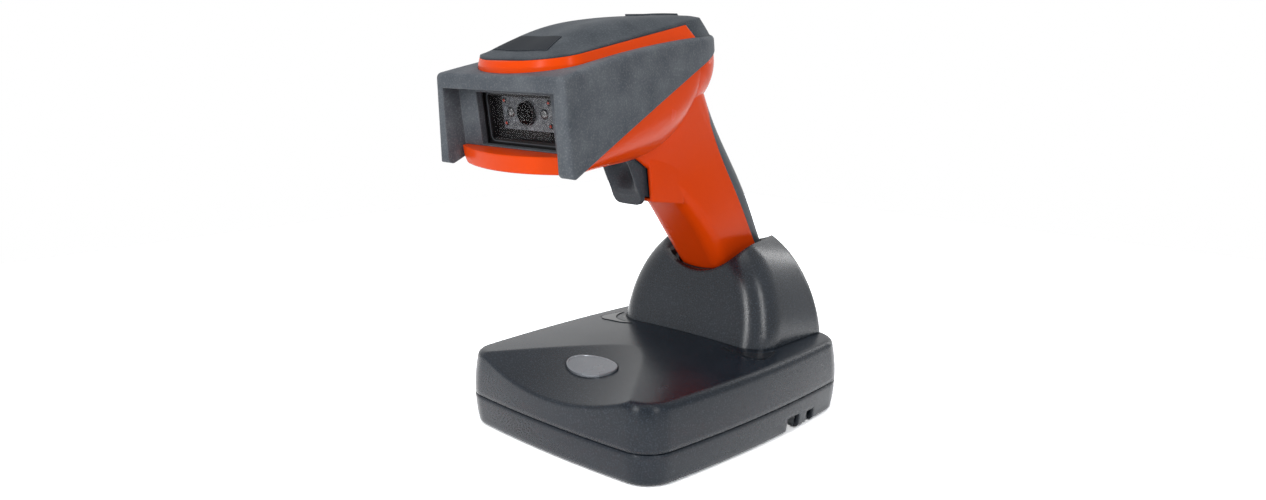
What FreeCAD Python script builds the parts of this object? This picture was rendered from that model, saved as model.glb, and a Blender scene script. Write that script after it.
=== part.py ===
import FreeCAD, Part
import math
import os
import re
import Sketcher
from FreeCAD import Placement, Rotation, Vector
from types import SimpleNamespace

# A cordless hand-held barcode scanner standing in its charging base, in millimetres.
# Three frames share the X axis, which points to the base's right seen from behind:
#   desk    - on the desk under the middle of the base, nose towards -Y, Z up
#   scanner - at the pivot where handle and head meet, tipped nose-down by head_tilt
#   handle  - at the same pivot, turned a further handle_lean, with the handle along -Z
SIZES = {
    # charging base
    "base_width": 129.8,
    "base_length": 150.0,
    "base_front_bow": 3.0,
    "base_side_bow": 4.2,
    "base_corner_round": 14.9,
    "base_wall": 2.5,
    "deck_height": 38.2,
    "deck_crown": 2.4,
    "deck_inset": 2.6,
    "deck_edge_round": 3.2,
    "floor_inset": 1.4,
    "floor_edge_round": 2.2,
    "foot_lift": 0.6,
    "seam_height": 15.6,
    "seam_gap": 0.8,
    "seam_reveal": 1.2,
    # dished front of the deck and its blank badge
    "dish_long_round": 220.0,
    "dish_cross_round": 150.0,
    "dish_start": -5.0,
    "dish_clear": 0.3,
    "badge_back": -45.6,
    "badge_half_width": 14.4,
    "badge_half_depth": 8.8,
    "badge_thickness": 2.0,
    "badge_stand": 0.8,
    # dome over the well
    "dome_half_width": 48.3,
    "dome_rise": 58.0,
    "dome_front": 18.5,
    "dome_rear": 71.8,
    "dome_front_lean": 13.0,
    "dome_rear_lean": 3.0,
    "dome_roof_fall": 10.0,
    "dome_front_round": 15.0,
    "dome_rear_round": 3.5,
    "dome_sink": 1.5,
    "dome_gap": 0.3,
    "dome_ledge": 10.0,
    "dome_wall": 2.5,
    "saddle_radius": 35.0,
    "saddle_low": 68.0,
    "saddle_rise": 13.0,
    # place of the scanner
    "heel_rest_back": 50.4,
    "heel_rest_height": 68.74,
    "head_tilt": 7.2,
    "handle_lean": 24.8,
    # head outline and the rubber boot over it
    "nose_half_width": 40.2,
    "nose_reach": 94.2,
    "nose_flare": 2.2,
    "nose_rake": 2.4,
    "tail_radius": 28.0,
    "shoulder_front": 29.5,
    "shoulder_peak": 33.2,
    "shoulder_peak_back": -14.0,
    "shoulder_rear": 31.0,
    "boot_round": 2.4,
    "skirt_front": -9.2,
    "skirt_rear": 28.3,
    "boot_wall": 2.6,
    "boot_proud": 0.6,
    "flange_depth": 8.0,
    "flange_width": 5.0,
    "brow_bottom": 23.5,
    "pad_wall": 3.0,
    "window_half_width": 23.5,
    "window_bottom": -1.5,
    "window_top": 21.0,
    "parting_gap": 0.1,
    "fit_gap": 0.15,
    # orange band and the crown pad above it
    "band_half_width": 29.5,
    "band_nose": 18.5,
    "band_shoulder": 72.0,
    "band_tail": 26.5,
    "band_lean_in": 3.0,
    "band_root": 26.9,
    "band_foot": 32.0,
    "band_peak": 40.0,
    "band_top_front": 34.3,
    "band_top_rear": 38.8,
    "band_end": -2.5,
    "band_end_lean": 5.0,
    "crown_front": 33.6,
    "crown_top": 44.6,
    "crown_top_back": -40.0,
    "crown_tail": 41.6,
    "crown_tail_back": 7.5,
    "crown_slope_back": 8.0,
    "crown_slope_fall": 12.0,
    "crown_flat": 13.0,
    "crown_rim": 0.4,
    "crown_steps": 8,
    # chin, belly and tail of the orange housing
    "chin_reach": 96.0,
    "chin_side_reach": 88.2,
    "chin_half_width": 34.9,
    "chin_top": -2.1,
    "chin_bottom": -9.2,
    "chin_round": 6.5,
    "belly_front": -9.4,
    "belly_front_round": 5.0,
    "belly_mid_back": -60.0,
    "belly_mid": -12.5,
    "belly_mid_round": 12.0,
    "belly_low_back": -38.0,
    "belly_low": -15.5,
    "belly_low_round": 19.0,
    "belly_rise_back": -18.0,
    "belly_rise": -14.5,
    "belly_rise_round": 23.0,
    "bowl_height": 20.0,
    "tail_depth": 24.0,
    "shell_wall": 2.2,
    # handle: half width, reach to the front and to the back at its stations
    "neck_drop": 12.0,
    "neck_half_width": 20.0,
    "neck_front": 31.0,
    "neck_back": 17.6,
    "throat_drop": 30.0,
    "throat_half_width": 16.9,
    "throat_front": 24.0,
    "throat_back": 19.4,
    "palm_drop": 55.0,
    "palm_half_width": 16.2,
    "palm_front": 18.6,
    "palm_back": 20.6,
    "grip_drop": 76.0,
    "grip_half_width": 15.9,
    "grip_front": 16.8,
    "grip_back": 20.4,
    "heel_half_width": 15.6,
    "heel_front": 14.8,
    "heel_back": 19.4,
    "handle_length": 97.0,
    "neck_nose_half": 11.0,
    "throat_nose_half": 13.0,
    "handle_front_round": 7.0,
    "handle_back_round": 9.0,
    "strip_plane": 11.0,
    "strip_top": 3.5,
    "strip_half_width": 17.4,
    "cap_thickness": 3.2,
    "gasket_thickness": 0.8,
    # blank badge, ridge and status lens on the crown
    "plate_back": -67.5,
    "plate_front": -79.5,
    "plate_back_half": 13.0,
    "plate_front_half": 17.0,
    "plate_bow": 1.4,
    "plate_stand": 0.3,
    "plate_thickness": 1.4,
    "ridge_front": -7.0,
    "ridge_back": 9.5,
    "ridge_half_width": 9.5,
    "ridge_stand": 0.9,
    "lens_front": -2.0,
    "lens_back": 4.6,
    "lens_half_width": 6.5,
    "lens_sink": 0.5,
    "lens_thickness": 1.5,
    "pipe_diameter": 4.0,
    "pipe_gap": 0.3,
    # trigger and its housing block
    "block_front_half": 12.0,
    "block_rear_half": 13.6,
    "block_front": -21.4,
    "block_rear": -2.0,
    "block_round": 0.9,
    "block_bottom": -38.9,
    "ledge_fall": 15.8,
    "slot_rear": -4.0,
    "slot_floor": 1.4,
    "slot_top": -15.9,
    "trigger_half_width": 9.0,
    "trigger_gap": 1.2,
    "trigger_brow": -33.0,
    "trigger_waist": -29.8,
    "trigger_lip": -26.8,
    "trigger_toe": -40.4,
    "toe_front": -25.6,
    "toe_back": -23.6,
    "trigger_rear": -10.5,
    "sole_gap": 1.0,
    "trigger_top": -16.4,
    "trigger_round": 1.6,
    "scoop_half_width": 5.4,
    "scoop_depth": 1.6,
    "pin_back": -13.5,
    "pin_height": -19.6,
    "pin_diameter": 3.0,
    "pin_length": 22.8,
    "pin_fit": 0.05,
    "spring_height": -28.5,
    "spring_diameter": 4.4,
    "spring_bore": 2.8,
    "spring_gap": 0.1,
    "switch_front": -8.6,
    "switch_half_width": 4.0,
    "switch_low": -39.0,
    "switch_high": -32.6,
    "plunger_height": -35.8,
    "plunger_diameter": 2.0,
    "plunger_length": 3.6,
    "plunger_gap": 0.2,
    # window and scan engine
    "gasket_width": 2.4,
    "gasket_depth": 0.5,
    "glass_thickness": 1.2,
    "glass_margin": 1.9,
    "frame_depth": 2.4,
    "frame_margin": 3.6,
    "frame_lap": 2.2,
    "engine_half_width": 15.8,
    "engine_low": 4.6,
    "engine_high": 18.8,
    "engine_plate_front": -79.0,
    "engine_plate_depth": 1.0,
    "engine_body_depth": 14.0,
    "engine_board_depth": 1.4,
    "barrel_diameter": 10.0,
    "barrel_bore": 7.6,
    "barrel_height": 11.8,
    "barrel_stand": 1.6,
    "eye_depth": 1.5,
    "light_spacing": 10.6,
    "light_diameter": 4.6,
    "light_stand": 0.8,
    "aimer_spread": 14.0,
    "aimer_rise": 4.8,
    "aimer_diameter": 1.6,
    # chassis, boards and cables in the head
    "chassis_low": -6.0,
    "chassis_thickness": 2.0,
    "chassis_half_width": 24.0,
    "chassis_front": -78.0,
    "chassis_rear": -26.0,
    "pedestal_half_width": 12.0,
    "post_diameter": 5.0,
    "post_spread": 17.0,
    "post_front": -56.0,
    "post_rear": -30.0,
    "board_low": 8.0,
    "board_thickness": 1.6,
    "board_half_width": 20.0,
    "board_front": -60.0,
    "board_rear": 4.0,
    "radio_half_width": 8.0,
    "radio_front": -50.0,
    "radio_back": -36.0,
    "radio_thickness": 2.6,
    "beeper_diameter": 12.0,
    "beeper_back": -18.0,
    "beeper_height": 5.5,
    "housing_screw_spread": 29.0,
    "housing_screw_back": -68.0,
    "housing_screw_seat": -8.0,
    "housing_boss_top": -4.0,
    # battery, end cap and charging contacts
    "battery_half_width": 12.0,
    "battery_front": -11.5,
    "battery_back": 14.5,
    "battery_top": 40.0,
    "battery_round": 5.0,
    "carrier_drop": 36.5,
    "carrier_thickness": 1.6,
    "carrier_half_width": 12.4,
    "carrier_depth": 6.0,
    "finger_spread": 5.0,
    "finger_width": 2.0,
    "plug_depth": 1.3,
    "plug_gap": 0.5,
    "pad_half_width": 9.6,
    "pad_half_depth": 1.6,
    "pad_depth": 0.6,
    # holster well and its contacts
    "well_clear": 0.8,
    "mouth_clear": 3.2,
    "mouth_drop": 84.0,
    "heel_relief_half_width": 14.0,
    "heel_relief_back": 68.4,
    "well_wall": 1.8,
    "well_floor": 2.0,
    "well_window_half_width": 8.6,
    "well_window_half_depth": 2.4,
    "contact_half_width": 12.0,
    "contact_half_depth": 4.5,
    "contact_height": 10.0,
    "contact_pitch": 4.6,
    "probe_diameter": 1.6,
    "probe_fit": 0.06,
    "probe_length": 7.4,
    "probe_gap": 0.25,
    "probe_spring_length": 3.0,
    "probe_spring_bore": 0.8,
    "ribbon_half_width": 6.0,
    "ribbon_thickness": 0.4,
    "ribbon_back": 55.6,
    # inside the base
    "foot_diameter": 12.0,
    "foot_recess": 1.0,
    "foot_spread": 44.0,
    "foot_reach": 60.0,
    "tray_screw_spread": 54.0,
    "tray_screw_front": -48.0,
    "tray_screw_rear": 58.0,
    "boss_diameter": 7.0,
    "boss_height": 12.0,
    "dome_screw_spread": 42.0,
    "dome_screw_front": 27.0,
    "dome_screw_rear": 60.0,
    "ballast_half_width": 45.0,
    "ballast_front": -66.0,
    "ballast_rear": -8.0,
    "ballast_thickness": 5.0,
    "base_board_low": 12.0,
    "base_board_half_width": 48.5,
    "base_board_front": 4.0,
    "base_board_rear": 60.0,
    "standoff_diameter": 6.0,
    "standoff_spread": 33.0,
    "standoff_front": 9.0,
    "standoff_rear": 55.0,
    "base_radio_spread": 25.0,
    "base_radio_back": 42.0,
    "base_radio_half": 10.0,
    "bay_inner": 41.0,
    "bay_outer": 64.0,
    "bay_front": 15.0,
    "bay_rear": 48.0,
    "bay_top": 9.0,
    "data_notch_back": 25.0,
    "data_notch_half": 5.0,
    "data_notch_top": 8.0,
    "power_notch_back": 40.0,
    "power_notch_half": 3.0,
    "power_notch_top": 7.0,
    "data_jack_half_width": 6.0,
    "data_jack_depth": 16.0,
    "power_jack_half_width": 4.5,
    "power_jack_depth": 12.0,
    "jack_height": 7.5,
    "jack_wall": 1.3,
    "jack_hole": 5.6,
    "jack_pin": 1.8,
    # status lenses in the deck beside the dome
    "lamp_inner": 30.5,
    "lamp_outer": 53.8,
    "lamp_front": 10.2,
    "lamp_rear": 27.0,
    "lamp_round": 6.0,
    "lamp_start": 2.6,
    "lamp_end": 2.9,
    "lamp_tip": 0.8,
    "lamp_waist_x": 45.6,
    "lamp_waist_y": 16.2,
    "lamp_stand": 0.3,
    "lamp_thickness": 1.6,
    "lamp_stem_x": 46.4,
    "lamp_stem_y": 13.0,
    "lamp_stem_diameter": 3.0,
    "led_half": 1.5,
    "led_height": 1.2,
    # screws
    "screw_head": 5.4,
    "screw_head_height": 1.5,
    "screw_shank": 2.4,
    "screw_hole": 3.0,
    "screw_bore": 2.6,
    "screw_length": 8.0,
    "screw_socket": 2.6,
    "screw_socket_depth": 0.8,
}

doc = FreeCAD.newDocument("barcode_scanner")
sheet = doc.addObject("Spreadsheet::Sheet", "Sizes")
for row, (name, number) in enumerate(SIZES.items(), start=1):
    sheet.set(f"A{row}", name)
    sheet.set(f"B{row}", str(number))
    sheet.setAlias(f"B{row}", name)
doc.recompute()
size = SimpleNamespace(**{name: float(getattr(sheet, name)) for name in SIZES})

NODES = []


def tilted(degrees, back=0.0, up=0.0):
    """Placement turned about X, with its origin at (0, back, up)."""
    return Placement(Vector(0, back, up), Rotation(Vector(1, 0, 0), degrees))


LEAN_TOTAL = math.radians(size.head_tilt + size.handle_lean)
PIVOT_BACK = size.heel_rest_back - size.handle_length * math.sin(LEAN_TOTAL)
PIVOT_HEIGHT = size.heel_rest_height + size.handle_length * math.cos(LEAN_TOTAL)


def desk_shift():
    """Puts the frame's origin under the middle of the whole length, nose to base rear."""
    turn = math.radians(size.head_tilt)
    nose = size.nose_reach * math.cos(turn) + size.shoulder_front * math.sin(turn) - PIVOT_BACK
    return (nose - size.base_length / 2) / 2


DESK = tilted(0, desk_shift())
SCANNER_ON_DESK = tilted(size.head_tilt, PIVOT_BACK, PIVOT_HEIGHT)
SCANNER = DESK.multiply(SCANNER_ON_DESK)
LEAN = tilted(size.handle_lean)
HANDLE = SCANNER.multiply(LEAN)
HANDLE_ON_DESK = SCANNER_ON_DESK.multiply(LEAN)
FLOOR = size.foot_lift + size.base_wall


def seat(piece, label, frame):
    """Names a finished sub-part and sets it in its frame, a lone primitive inside a group."""
    if piece.TypeId in ("Part::Box", "Part::Cylinder"):
        piece = grouped(piece)
    piece.Label = label
    piece.Placement = frame
    NODES.append(piece)
    return piece


def freeform(label, frame, shape):
    """A sub-part whose shape is worked out from the sheet's sizes."""
    piece = doc.addObject("Part::Feature", label)
    piece.Shape = shape
    return seat(piece, label, frame)


# ---------------------------------------------------------------- shared outlines


def arc(start, middle, end):
    return Part.Arc(Vector(*start), Vector(*middle), Vector(*end)).toShape()


def line(start, end):
    return Part.makeLine(Vector(*start), Vector(*end))


def side_slab(points, half_width=80.0):
    """Solid of a YZ outline, wide enough to pass right through."""
    corners = [Vector(-half_width, back, up) for back, up in points + points[:1]]
    return Part.Face(Part.makePolygon(corners)).extrude(Vector(2 * half_width, 0, 0))


def box(x_low, x_high, y_low, y_high, z_low, z_high):
    return Part.makeBox(x_high - x_low, y_high - y_low, z_high - z_low, Vector(x_low, y_low, z_low))


def moved(shape, placement):
    copy = shape.copy()
    copy.Placement = placement.multiply(copy.Placement)
    return copy


def rod(diameter, low, high, x=0.0, y=0.0):
    """Upright cylinder between two heights."""
    return Part.makeCylinder(diameter / 2, high - low, Vector(x, y, low))


def linked(formula):
    """Points the sizes named in a formula at the sheet."""
    return re.sub(r"[a-z]+_[a-z_]+", lambda word: f"Sizes.{word[0]}", formula)


def slab(x, y, z):
    """Box between two formulas along each axis."""
    piece = doc.addObject("Part::Box", "Slab")
    for side, axis, (low, high) in zip(("Length", "Width", "Height"), "xyz", (x, y, z)):
        piece.setExpression(side, linked(f"({high}) - ({low})"))
        piece.setExpression(f"Placement.Base.{axis}", linked(low))
    return piece


ALONG = {
    "x": Rotation(Vector(0, 1, 0), 90),
    "y": Rotation(Vector(1, 0, 0), -90),
    "z": Rotation(),
}


def peg(diameter, x, y, z, along="z"):
    """Cylinder along one axis, whose low and high ends are the pair in that place."""
    piece = doc.addObject("Part::Cylinder", "Peg")
    piece.Placement = Placement(Vector(), ALONG[along])
    low, high = {"x": x, "y": y, "z": z}[along]
    piece.setExpression("Radius", linked(f"({diameter}) / 2"))
    piece.setExpression("Height", linked(f"({high}) - ({low})"))
    for axis, place in zip("xyz", (x, y, z)):
        start = low if axis == along else place
        piece.setExpression(f"Placement.Base.{axis}", linked(start))
    return piece


def joined(*pieces):
    piece = doc.addObject("Part::MultiFuse", "Joined")
    piece.Shapes = list(pieces)
    return piece


def grouped(*pieces):
    """Separate solids kept as one sub-part."""
    piece = doc.addObject("Part::Compound", "Group")
    piece.Links = list(pieces)
    return piece


def cut(base, *tools):
    piece = doc.addObject("Part::Cut", "Cut")
    piece.Base = base
    piece.Tool = tools[0] if len(tools) == 1 else joined(*tools)
    return piece


def tube(outer, inner, x, y, z, along="z"):
    return cut(peg(outer, x, y, z, along), peg(inner, x, y, z, along))


def screw(x, y, face, up, length="screw_length"):
    """Socket-head screw whose head's outer face is at a height, driven up or down."""
    sign = "+" if up else "-"
    seat_height = f"({face}) {sign} screw_head_height"
    tip = f"{seat_height} {sign} {length}"
    key = f"({face}) {sign} screw_socket_depth"
    spans = [(face, seat_height), (seat_height, tip), (face, key)]
    head, shank, socket = spans if up else [(high, low) for low, high in spans]
    prism = doc.addObject("Part::Prism", "Socket")
    prism.Polygon = 6
    prism.setExpression("Circumradius", linked("screw_socket / 2"))
    prism.setExpression("Height", linked("screw_socket_depth"))
    for axis, place in zip("xyz", (x, y, socket[0])):
        prism.setExpression(f"Placement.Base.{axis}", linked(place))
    return cut(joined(peg("screw_head", x, y, head), peg("screw_shank", x, y, shank)), prism)


def drawn(body, role, offset):
    """New sketch on one of the body's own planes, moved along its normal."""
    drawing = body.newObject("Sketcher::SketchObject", "Outline")
    plane = next(item for item in body.Origin.OriginFeatures if item.Role == role)
    drawing.AttachmentSupport = [(plane, "")]
    drawing.MapMode = "FlatFace"
    drawing.setExpression("AttachmentOffset.Base.z", linked(offset))
    return drawing


def held(drawing, kind, formula, *places):
    """Adds a dimension to a sketch and ties it to the sheet."""
    index = drawing.addConstraint(Sketcher.Constraint(kind, *places, 1.0))
    name = f"{kind.lower()}_{index}"
    drawing.renameConstraint(index, name)
    drawing.setExpression(f"Constraints.{name}", linked(formula))


def rectangle(drawing, x, y):
    first = drawing.GeometryCount
    corners = [Vector(0, 0, 0), Vector(9, 0, 0), Vector(9, 9, 0), Vector(0, 9, 0)]
    for start, end in zip(corners, corners[1:] + corners[:1]):
        drawing.addGeometry(Part.LineSegment(start, end))
    for side in range(4):
        drawing.addConstraint(Sketcher.Constraint("Coincident", first + side, 2, first + (side + 1) % 4, 1))
        level_or_plumb = "Vertical" if side % 2 else "Horizontal"
        drawing.addConstraint(Sketcher.Constraint(level_or_plumb, first + side))
    for corner, place_x, place_y in ((0, x[0], y[0]), (2, x[1], y[1])):
        held(drawing, "DistanceX", place_x, -1, 1, first + corner, 1)
        held(drawing, "DistanceY", place_y, -1, 1, first + corner, 1)


def circle(drawing, diameter, x, y):
    index = drawing.addGeometry(Part.Circle(Vector(1, 1, 0), Vector(0, 0, 1), 1))
    held(drawing, "Diameter", diameter, index)
    held(drawing, "DistanceX", x, -1, 1, index, 3)
    held(drawing, "DistanceY", y, -1, 1, index, 3)


def raised(drawing, height):
    body = drawing.getParentGeoFeatureGroup()
    pad = body.newObject("PartDesign::Pad", "Pad")
    pad.Profile = drawing
    pad.setExpression("Length", linked(height))
    body.Tip = pad
    return pad


def softened(feature, radius, chosen, kind="Fillet"):
    """Rounds or bevels the edges of a feature that a test picks out."""
    doc.recompute()
    body = feature.getParentGeoFeatureGroup()
    finish = body.newObject(f"PartDesign::{kind}", kind)
    names = [f"Edge{n}" for n, edge in enumerate(feature.Shape.Edges, start=1) if chosen(edge)]
    finish.Base = (feature, names)
    finish.setExpression("Radius" if kind == "Fillet" else "Size", linked(radius))
    body.Tip = finish
    return finish


def upright(edge):
    """True for an edge parallel to Z."""
    bounds = edge.BoundBox
    return bounds.ZLength > 0.1 and bounds.XLength < 0.01 and bounds.YLength < 0.01


def deepwise(edge):
    """True for an edge parallel to Y."""
    bounds = edge.BoundBox
    return bounds.YLength > 0.1 and bounds.XLength < 0.01 and bounds.ZLength < 0.01


def new_body():
    return doc.addObject("PartDesign::Body", "Body")


# ---------------------------------------------------------------- charging base


def base_outline(inset, height):
    half_width = size.base_width / 2 - inset
    half_length = size.base_length / 2 - inset
    x = half_width - size.base_side_bow
    y = half_length - size.base_front_bow
    return Part.Wire([
        arc((-x, -y, height), (0, -half_length, height), (x, -y, height)),
        arc((x, -y, height), (half_width, 0, height), (x, y, height)),
        arc((x, y, height), (0, half_length, height), (-x, y, height)),
        arc((-x, y, height), (-half_width, 0, height), (-x, -y, height)),
    ])


def base_body(inset):
    """The base's barrel-sided block, drawn in by inset all round and taller than its deck."""
    top = size.deck_height + size.deck_crown
    stations = [
        (size.floor_inset, size.foot_lift),
        (0.0, size.seam_height),
        (size.deck_inset, top),
    ]
    block = Part.makeLoft([base_outline(inset + own, height) for own, height in stations], True)
    tall = top - size.foot_lift
    corners = [edge for edge in block.Edges if abs(edge.BoundBox.ZLength - tall) < 0.1]
    return block.makeFillet(size.base_corner_round - inset, corners)


def dish(depth):
    """Saddle-shaped cutter of the deck's dished front, grown by depth."""
    up = size.deck_height + size.dish_clear - size.dish_long_round
    ring = size.dish_long_round + size.dish_cross_round
    middle = Vector(0, size.dish_start, up)
    hollow = Part.makeTorus(ring, size.dish_cross_round + depth, middle, Vector(1, 0, 0))
    reach = size.base_length
    return hollow.common(box(-reach, reach, -reach, size.dish_start, 0, reach))


def crown_roof(depth):
    """Everything below the deck's crowned top, lowered by depth."""
    half = size.base_width / 2
    radius = (half ** 2 + size.deck_crown ** 2) / (2 * size.deck_crown)
    reach = size.base_length
    axle = Vector(0, -reach, size.deck_height - radius)
    roof = Part.makeCylinder(radius - depth, 2 * reach, axle, Vector(0, 1, 0))
    roof.rotate(axle, Vector(0, 1, 0), 180)
    return roof


def level(shape, low, high):
    """The part of a shape between two heights."""
    reach = size.base_length
    return shape.common(box(-reach, reach, -reach, reach, low, high))


def dome_body(inset):
    """The hood's full outside, drawn in by inset, before the saddle is cut."""
    half_width = size.dome_half_width - inset
    rise = size.dome_rise - inset
    foot = size.deck_height
    arch = Part.Ellipse(Vector(0, rise, 0), Vector(half_width, 0, 0), Vector(0, 0, 0)).toShape()
    arch.Placement = Placement(Vector(0, size.dome_front, foot), Rotation(Vector(1, 0, 0), 90))
    fall = math.radians(size.dome_roof_fall)
    run = Vector(0, math.cos(fall), -math.sin(fall))
    barrel = Part.Face(Part.Wire([arch])).extrude(run * (2 * size.base_length))
    barrel.translate(run * -size.base_length)
    front = size.dome_front + inset
    rear = size.dome_rear - inset
    front_slope = math.tan(math.radians(size.dome_front_lean))
    rear_slope = math.tan(math.radians(size.dome_rear_lean))
    drop = size.dome_rise / 2
    high = 2 * size.dome_rise
    sides = side_slab([
        (front - drop * front_slope, foot - drop),
        (rear + drop * rear_slope, foot - drop),
        (rear - high * rear_slope, foot + high),
        (front + high * front_slope, foot + high),
    ])
    body = barrel.common(sides)
    middle = (size.dome_front + size.dome_rear) / 2
    across = [edge for edge in body.Edges if edge.BoundBox.XLength > half_width]
    front_edge = [edge for edge in across if edge.BoundBox.YMax < middle]
    body = body.makeFillet(size.dome_front_round - inset, front_edge)
    across = [edge for edge in body.Edges if edge.BoundBox.XLength > half_width]
    rear_edge = [edge for edge in across if edge.BoundBox.YMin > middle]
    return body.makeFillet(size.dome_rear_round - min(inset, size.dome_rear_round / 2), rear_edge)


def saddle(depth):
    """Round notch that lets the handle drop into the hood, grown by depth."""
    rise = math.radians(size.saddle_rise)
    run = Vector(0, math.cos(rise), math.sin(rise))
    start = Vector(0, size.dome_front, size.saddle_low + size.saddle_radius)
    reach = size.base_length
    return Part.makeCylinder(size.saddle_radius + depth, 2 * reach, start - run * reach, run)


def rounded(corners, height):
    """Closed wire round (x, y, radius) corners, straight between them."""
    arcs = []
    for before, corner, after in zip(corners[-1:] + corners[:-1], corners, corners[1:] + corners[:1]):
        point = Vector(corner[0], corner[1], height)
        back = (Vector(before[0], before[1], height) - point).normalize()
        ahead = (Vector(after[0], after[1], height) - point).normalize()
        half_turn = back.getAngle(ahead) / 2
        reach = corner[2] / math.tan(half_turn)
        middle = (back + ahead).normalize()
        crest = corner[2] / math.sin(half_turn) - corner[2]
        arcs.append((point + back * reach, point + middle * crest, point + ahead * reach))
    edges = []
    for turn, following in zip(arcs, arcs[1:] + arcs[:1]):
        edges.append(Part.Arc(*turn).toShape())
        edges.append(Part.makeLine(turn[2], following[0]))
    return Part.Wire(edges)


def handle_outline(drop, half_width, front, back, nose_half=None):
    """Rounded section across the handle, drop below the pivot, narrower towards the front if asked."""
    nose = half_width if nose_half is None else nose_half
    near = min(size.handle_front_round, nose / 2)
    far = min(size.handle_back_round, half_width / 2)
    corners = [(nose, -front, near), (half_width, back, far), (-half_width, back, far), (-nose, -front, near)]
    return rounded(corners, -drop)


def heel_outline(drop, inset):
    """The handle's section at its heel, drawn in by inset and set at a drop."""
    return handle_outline(drop, size.heel_half_width - inset, size.heel_front - inset, size.heel_back - inset)


def handle_body(inset):
    """The handle's outside as one loft down its own axis, drawn in by inset."""
    flare = size.neck_half_width - size.throat_half_width
    root = (size.neck_half_width + 2 * flare, size.neck_front + 3 * flare, size.neck_back - flare)
    nose = size.neck_nose_half
    stations = [
        (-size.neck_drop, *root, nose),
        (size.neck_drop, size.neck_half_width, size.neck_front, size.neck_back, nose),
        (size.throat_drop, size.throat_half_width, size.throat_front, size.throat_back, size.throat_nose_half),
        (size.palm_drop, size.palm_half_width, size.palm_front, size.palm_back, size.palm_half_width),
        (size.grip_drop, size.grip_half_width, size.grip_front, size.grip_back, size.grip_half_width),
        (size.handle_length, size.heel_half_width, size.heel_front, size.heel_back, size.heel_half_width),
    ]
    sections = [
        handle_outline(drop, half - inset, front - inset, back - inset, slim - inset)
        for drop, half, front, back, slim in stations
    ]
    return Part.makeLoft(sections, True)


def plan_wire(inset, height, extra_half=0.0, extra_reach=0.0, nose_inset=None):
    """The head's plan at one height: straight flanks narrowing to a half-round tail."""
    radius = size.tail_radius - inset
    half = size.nose_half_width + extra_half - inset
    nose = size.nose_reach + extra_reach - (inset if nose_inset is None else nose_inset)
    bearing = math.atan2(-nose, half) + math.acos(radius / math.hypot(nose, half))
    x = radius * math.cos(bearing)
    y = radius * math.sin(bearing)
    return Part.Wire([
        line((-half, -nose, height), (half, -nose, height)),
        line((half, -nose, height), (x, y, height)),
        arc((x, y, height), (0, radius, height), (-x, y, height)),
        line((-x, y, height), (-half, -nose, height)),
    ])


def head_block(inset, nose_inset=None):
    """The head's drafted plan carried up and down, wider and longer at the skirt."""
    tall = size.shoulder_front - size.skirt_front
    low = size.skirt_front - 2 * tall
    high = size.shoulder_front + tall
    bottom = plan_wire(inset, low, 3 * size.nose_flare, 3 * size.nose_rake, nose_inset)
    top = plan_wire(inset, high, -size.nose_flare, -size.nose_rake, nose_inset)
    return Part.makeLoft([bottom, top], True, True)


def skirt_height(back):
    """Height of the rubber boot's lower edge, which rises along the head."""
    share = (back + size.nose_reach) / (size.nose_reach + size.tail_radius)
    return size.skirt_front + share * (size.skirt_rear - size.skirt_front)


def band_height(back):
    share = (back + size.nose_reach) / size.nose_reach
    return size.band_top_front + share * (size.band_top_rear - size.band_top_front)


NEAR = -1.3 * size.nose_reach
FAR = 3 * size.tail_radius
SKY = 3 * size.crown_top
DEEP = -1.5 * size.handle_length


def above(height_at, lift=0.0):
    return side_slab([(NEAR, height_at(NEAR) + lift), (FAR, height_at(FAR) + lift), (FAR, SKY), (NEAR, SKY)])


def below(height_at, lift=0.0):
    return side_slab([(NEAR, DEEP), (FAR, DEEP), (FAR, height_at(FAR) + lift), (NEAR, height_at(NEAR) + lift)])


def below_shoulder(lift=0.0):
    """Everything under the boot's gently arched top."""
    arch = Part.Circle(
        Vector(0, -size.nose_reach, size.shoulder_front),
        Vector(0, size.shoulder_peak_back, size.shoulder_peak),
        Vector(0, size.tail_radius, size.shoulder_rear),
    )
    start = arch.Center - Vector(size.base_width, 0, 0)
    roof = Part.makeCylinder(arch.Radius + lift, 2 * size.base_width, start, Vector(1, 0, 0))
    roof.rotate(start, Vector(1, 0, 0), 180)
    return roof


def flank(back):
    """Half width of the head's plan at a distance back from the pivot."""
    return size.tail_radius - back / size.nose_reach * (size.nose_half_width - size.tail_radius)


def belly_wire(back, half_width, bottom, radius):
    """U-shaped section across the underside of the head."""
    top = size.crown_top
    corner = radius * math.sqrt(0.5)
    x = half_width - radius
    z = bottom + radius
    return Part.Wire([
        line((-half_width, back, top), (-half_width, back, z)),
        arc((-half_width, back, z), (-x - corner, back, z - corner), (-x, back, bottom)),
        line((-x, back, bottom), (x, back, bottom)),
        arc((x, back, bottom), (x + corner, back, z - corner), (half_width, back, z)),
        line((half_width, back, z), (half_width, back, top)),
        line((half_width, back, top), (-half_width, back, top)),
    ])


def belly(inset):
    """The underside of the head from the chin back to the handle."""
    proud = size.boot_proud + inset
    front = size.flange_depth - size.nose_reach + inset
    stations = [
        (front, size.belly_front, size.belly_front_round),
        (size.belly_mid_back, size.belly_mid, size.belly_mid_round),
        (size.belly_low_back, size.belly_low, size.belly_low_round),
        (size.belly_rise_back, size.belly_rise, size.belly_rise_round),
        (0.0, size.bowl_height - size.tail_depth, size.tail_depth),
    ]
    wires = [
        belly_wire(back, flank(back) - proud, bottom + inset, radius - inset)
        for back, bottom, radius in stations
    ]
    return Part.makeLoft(wires, True)


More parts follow.
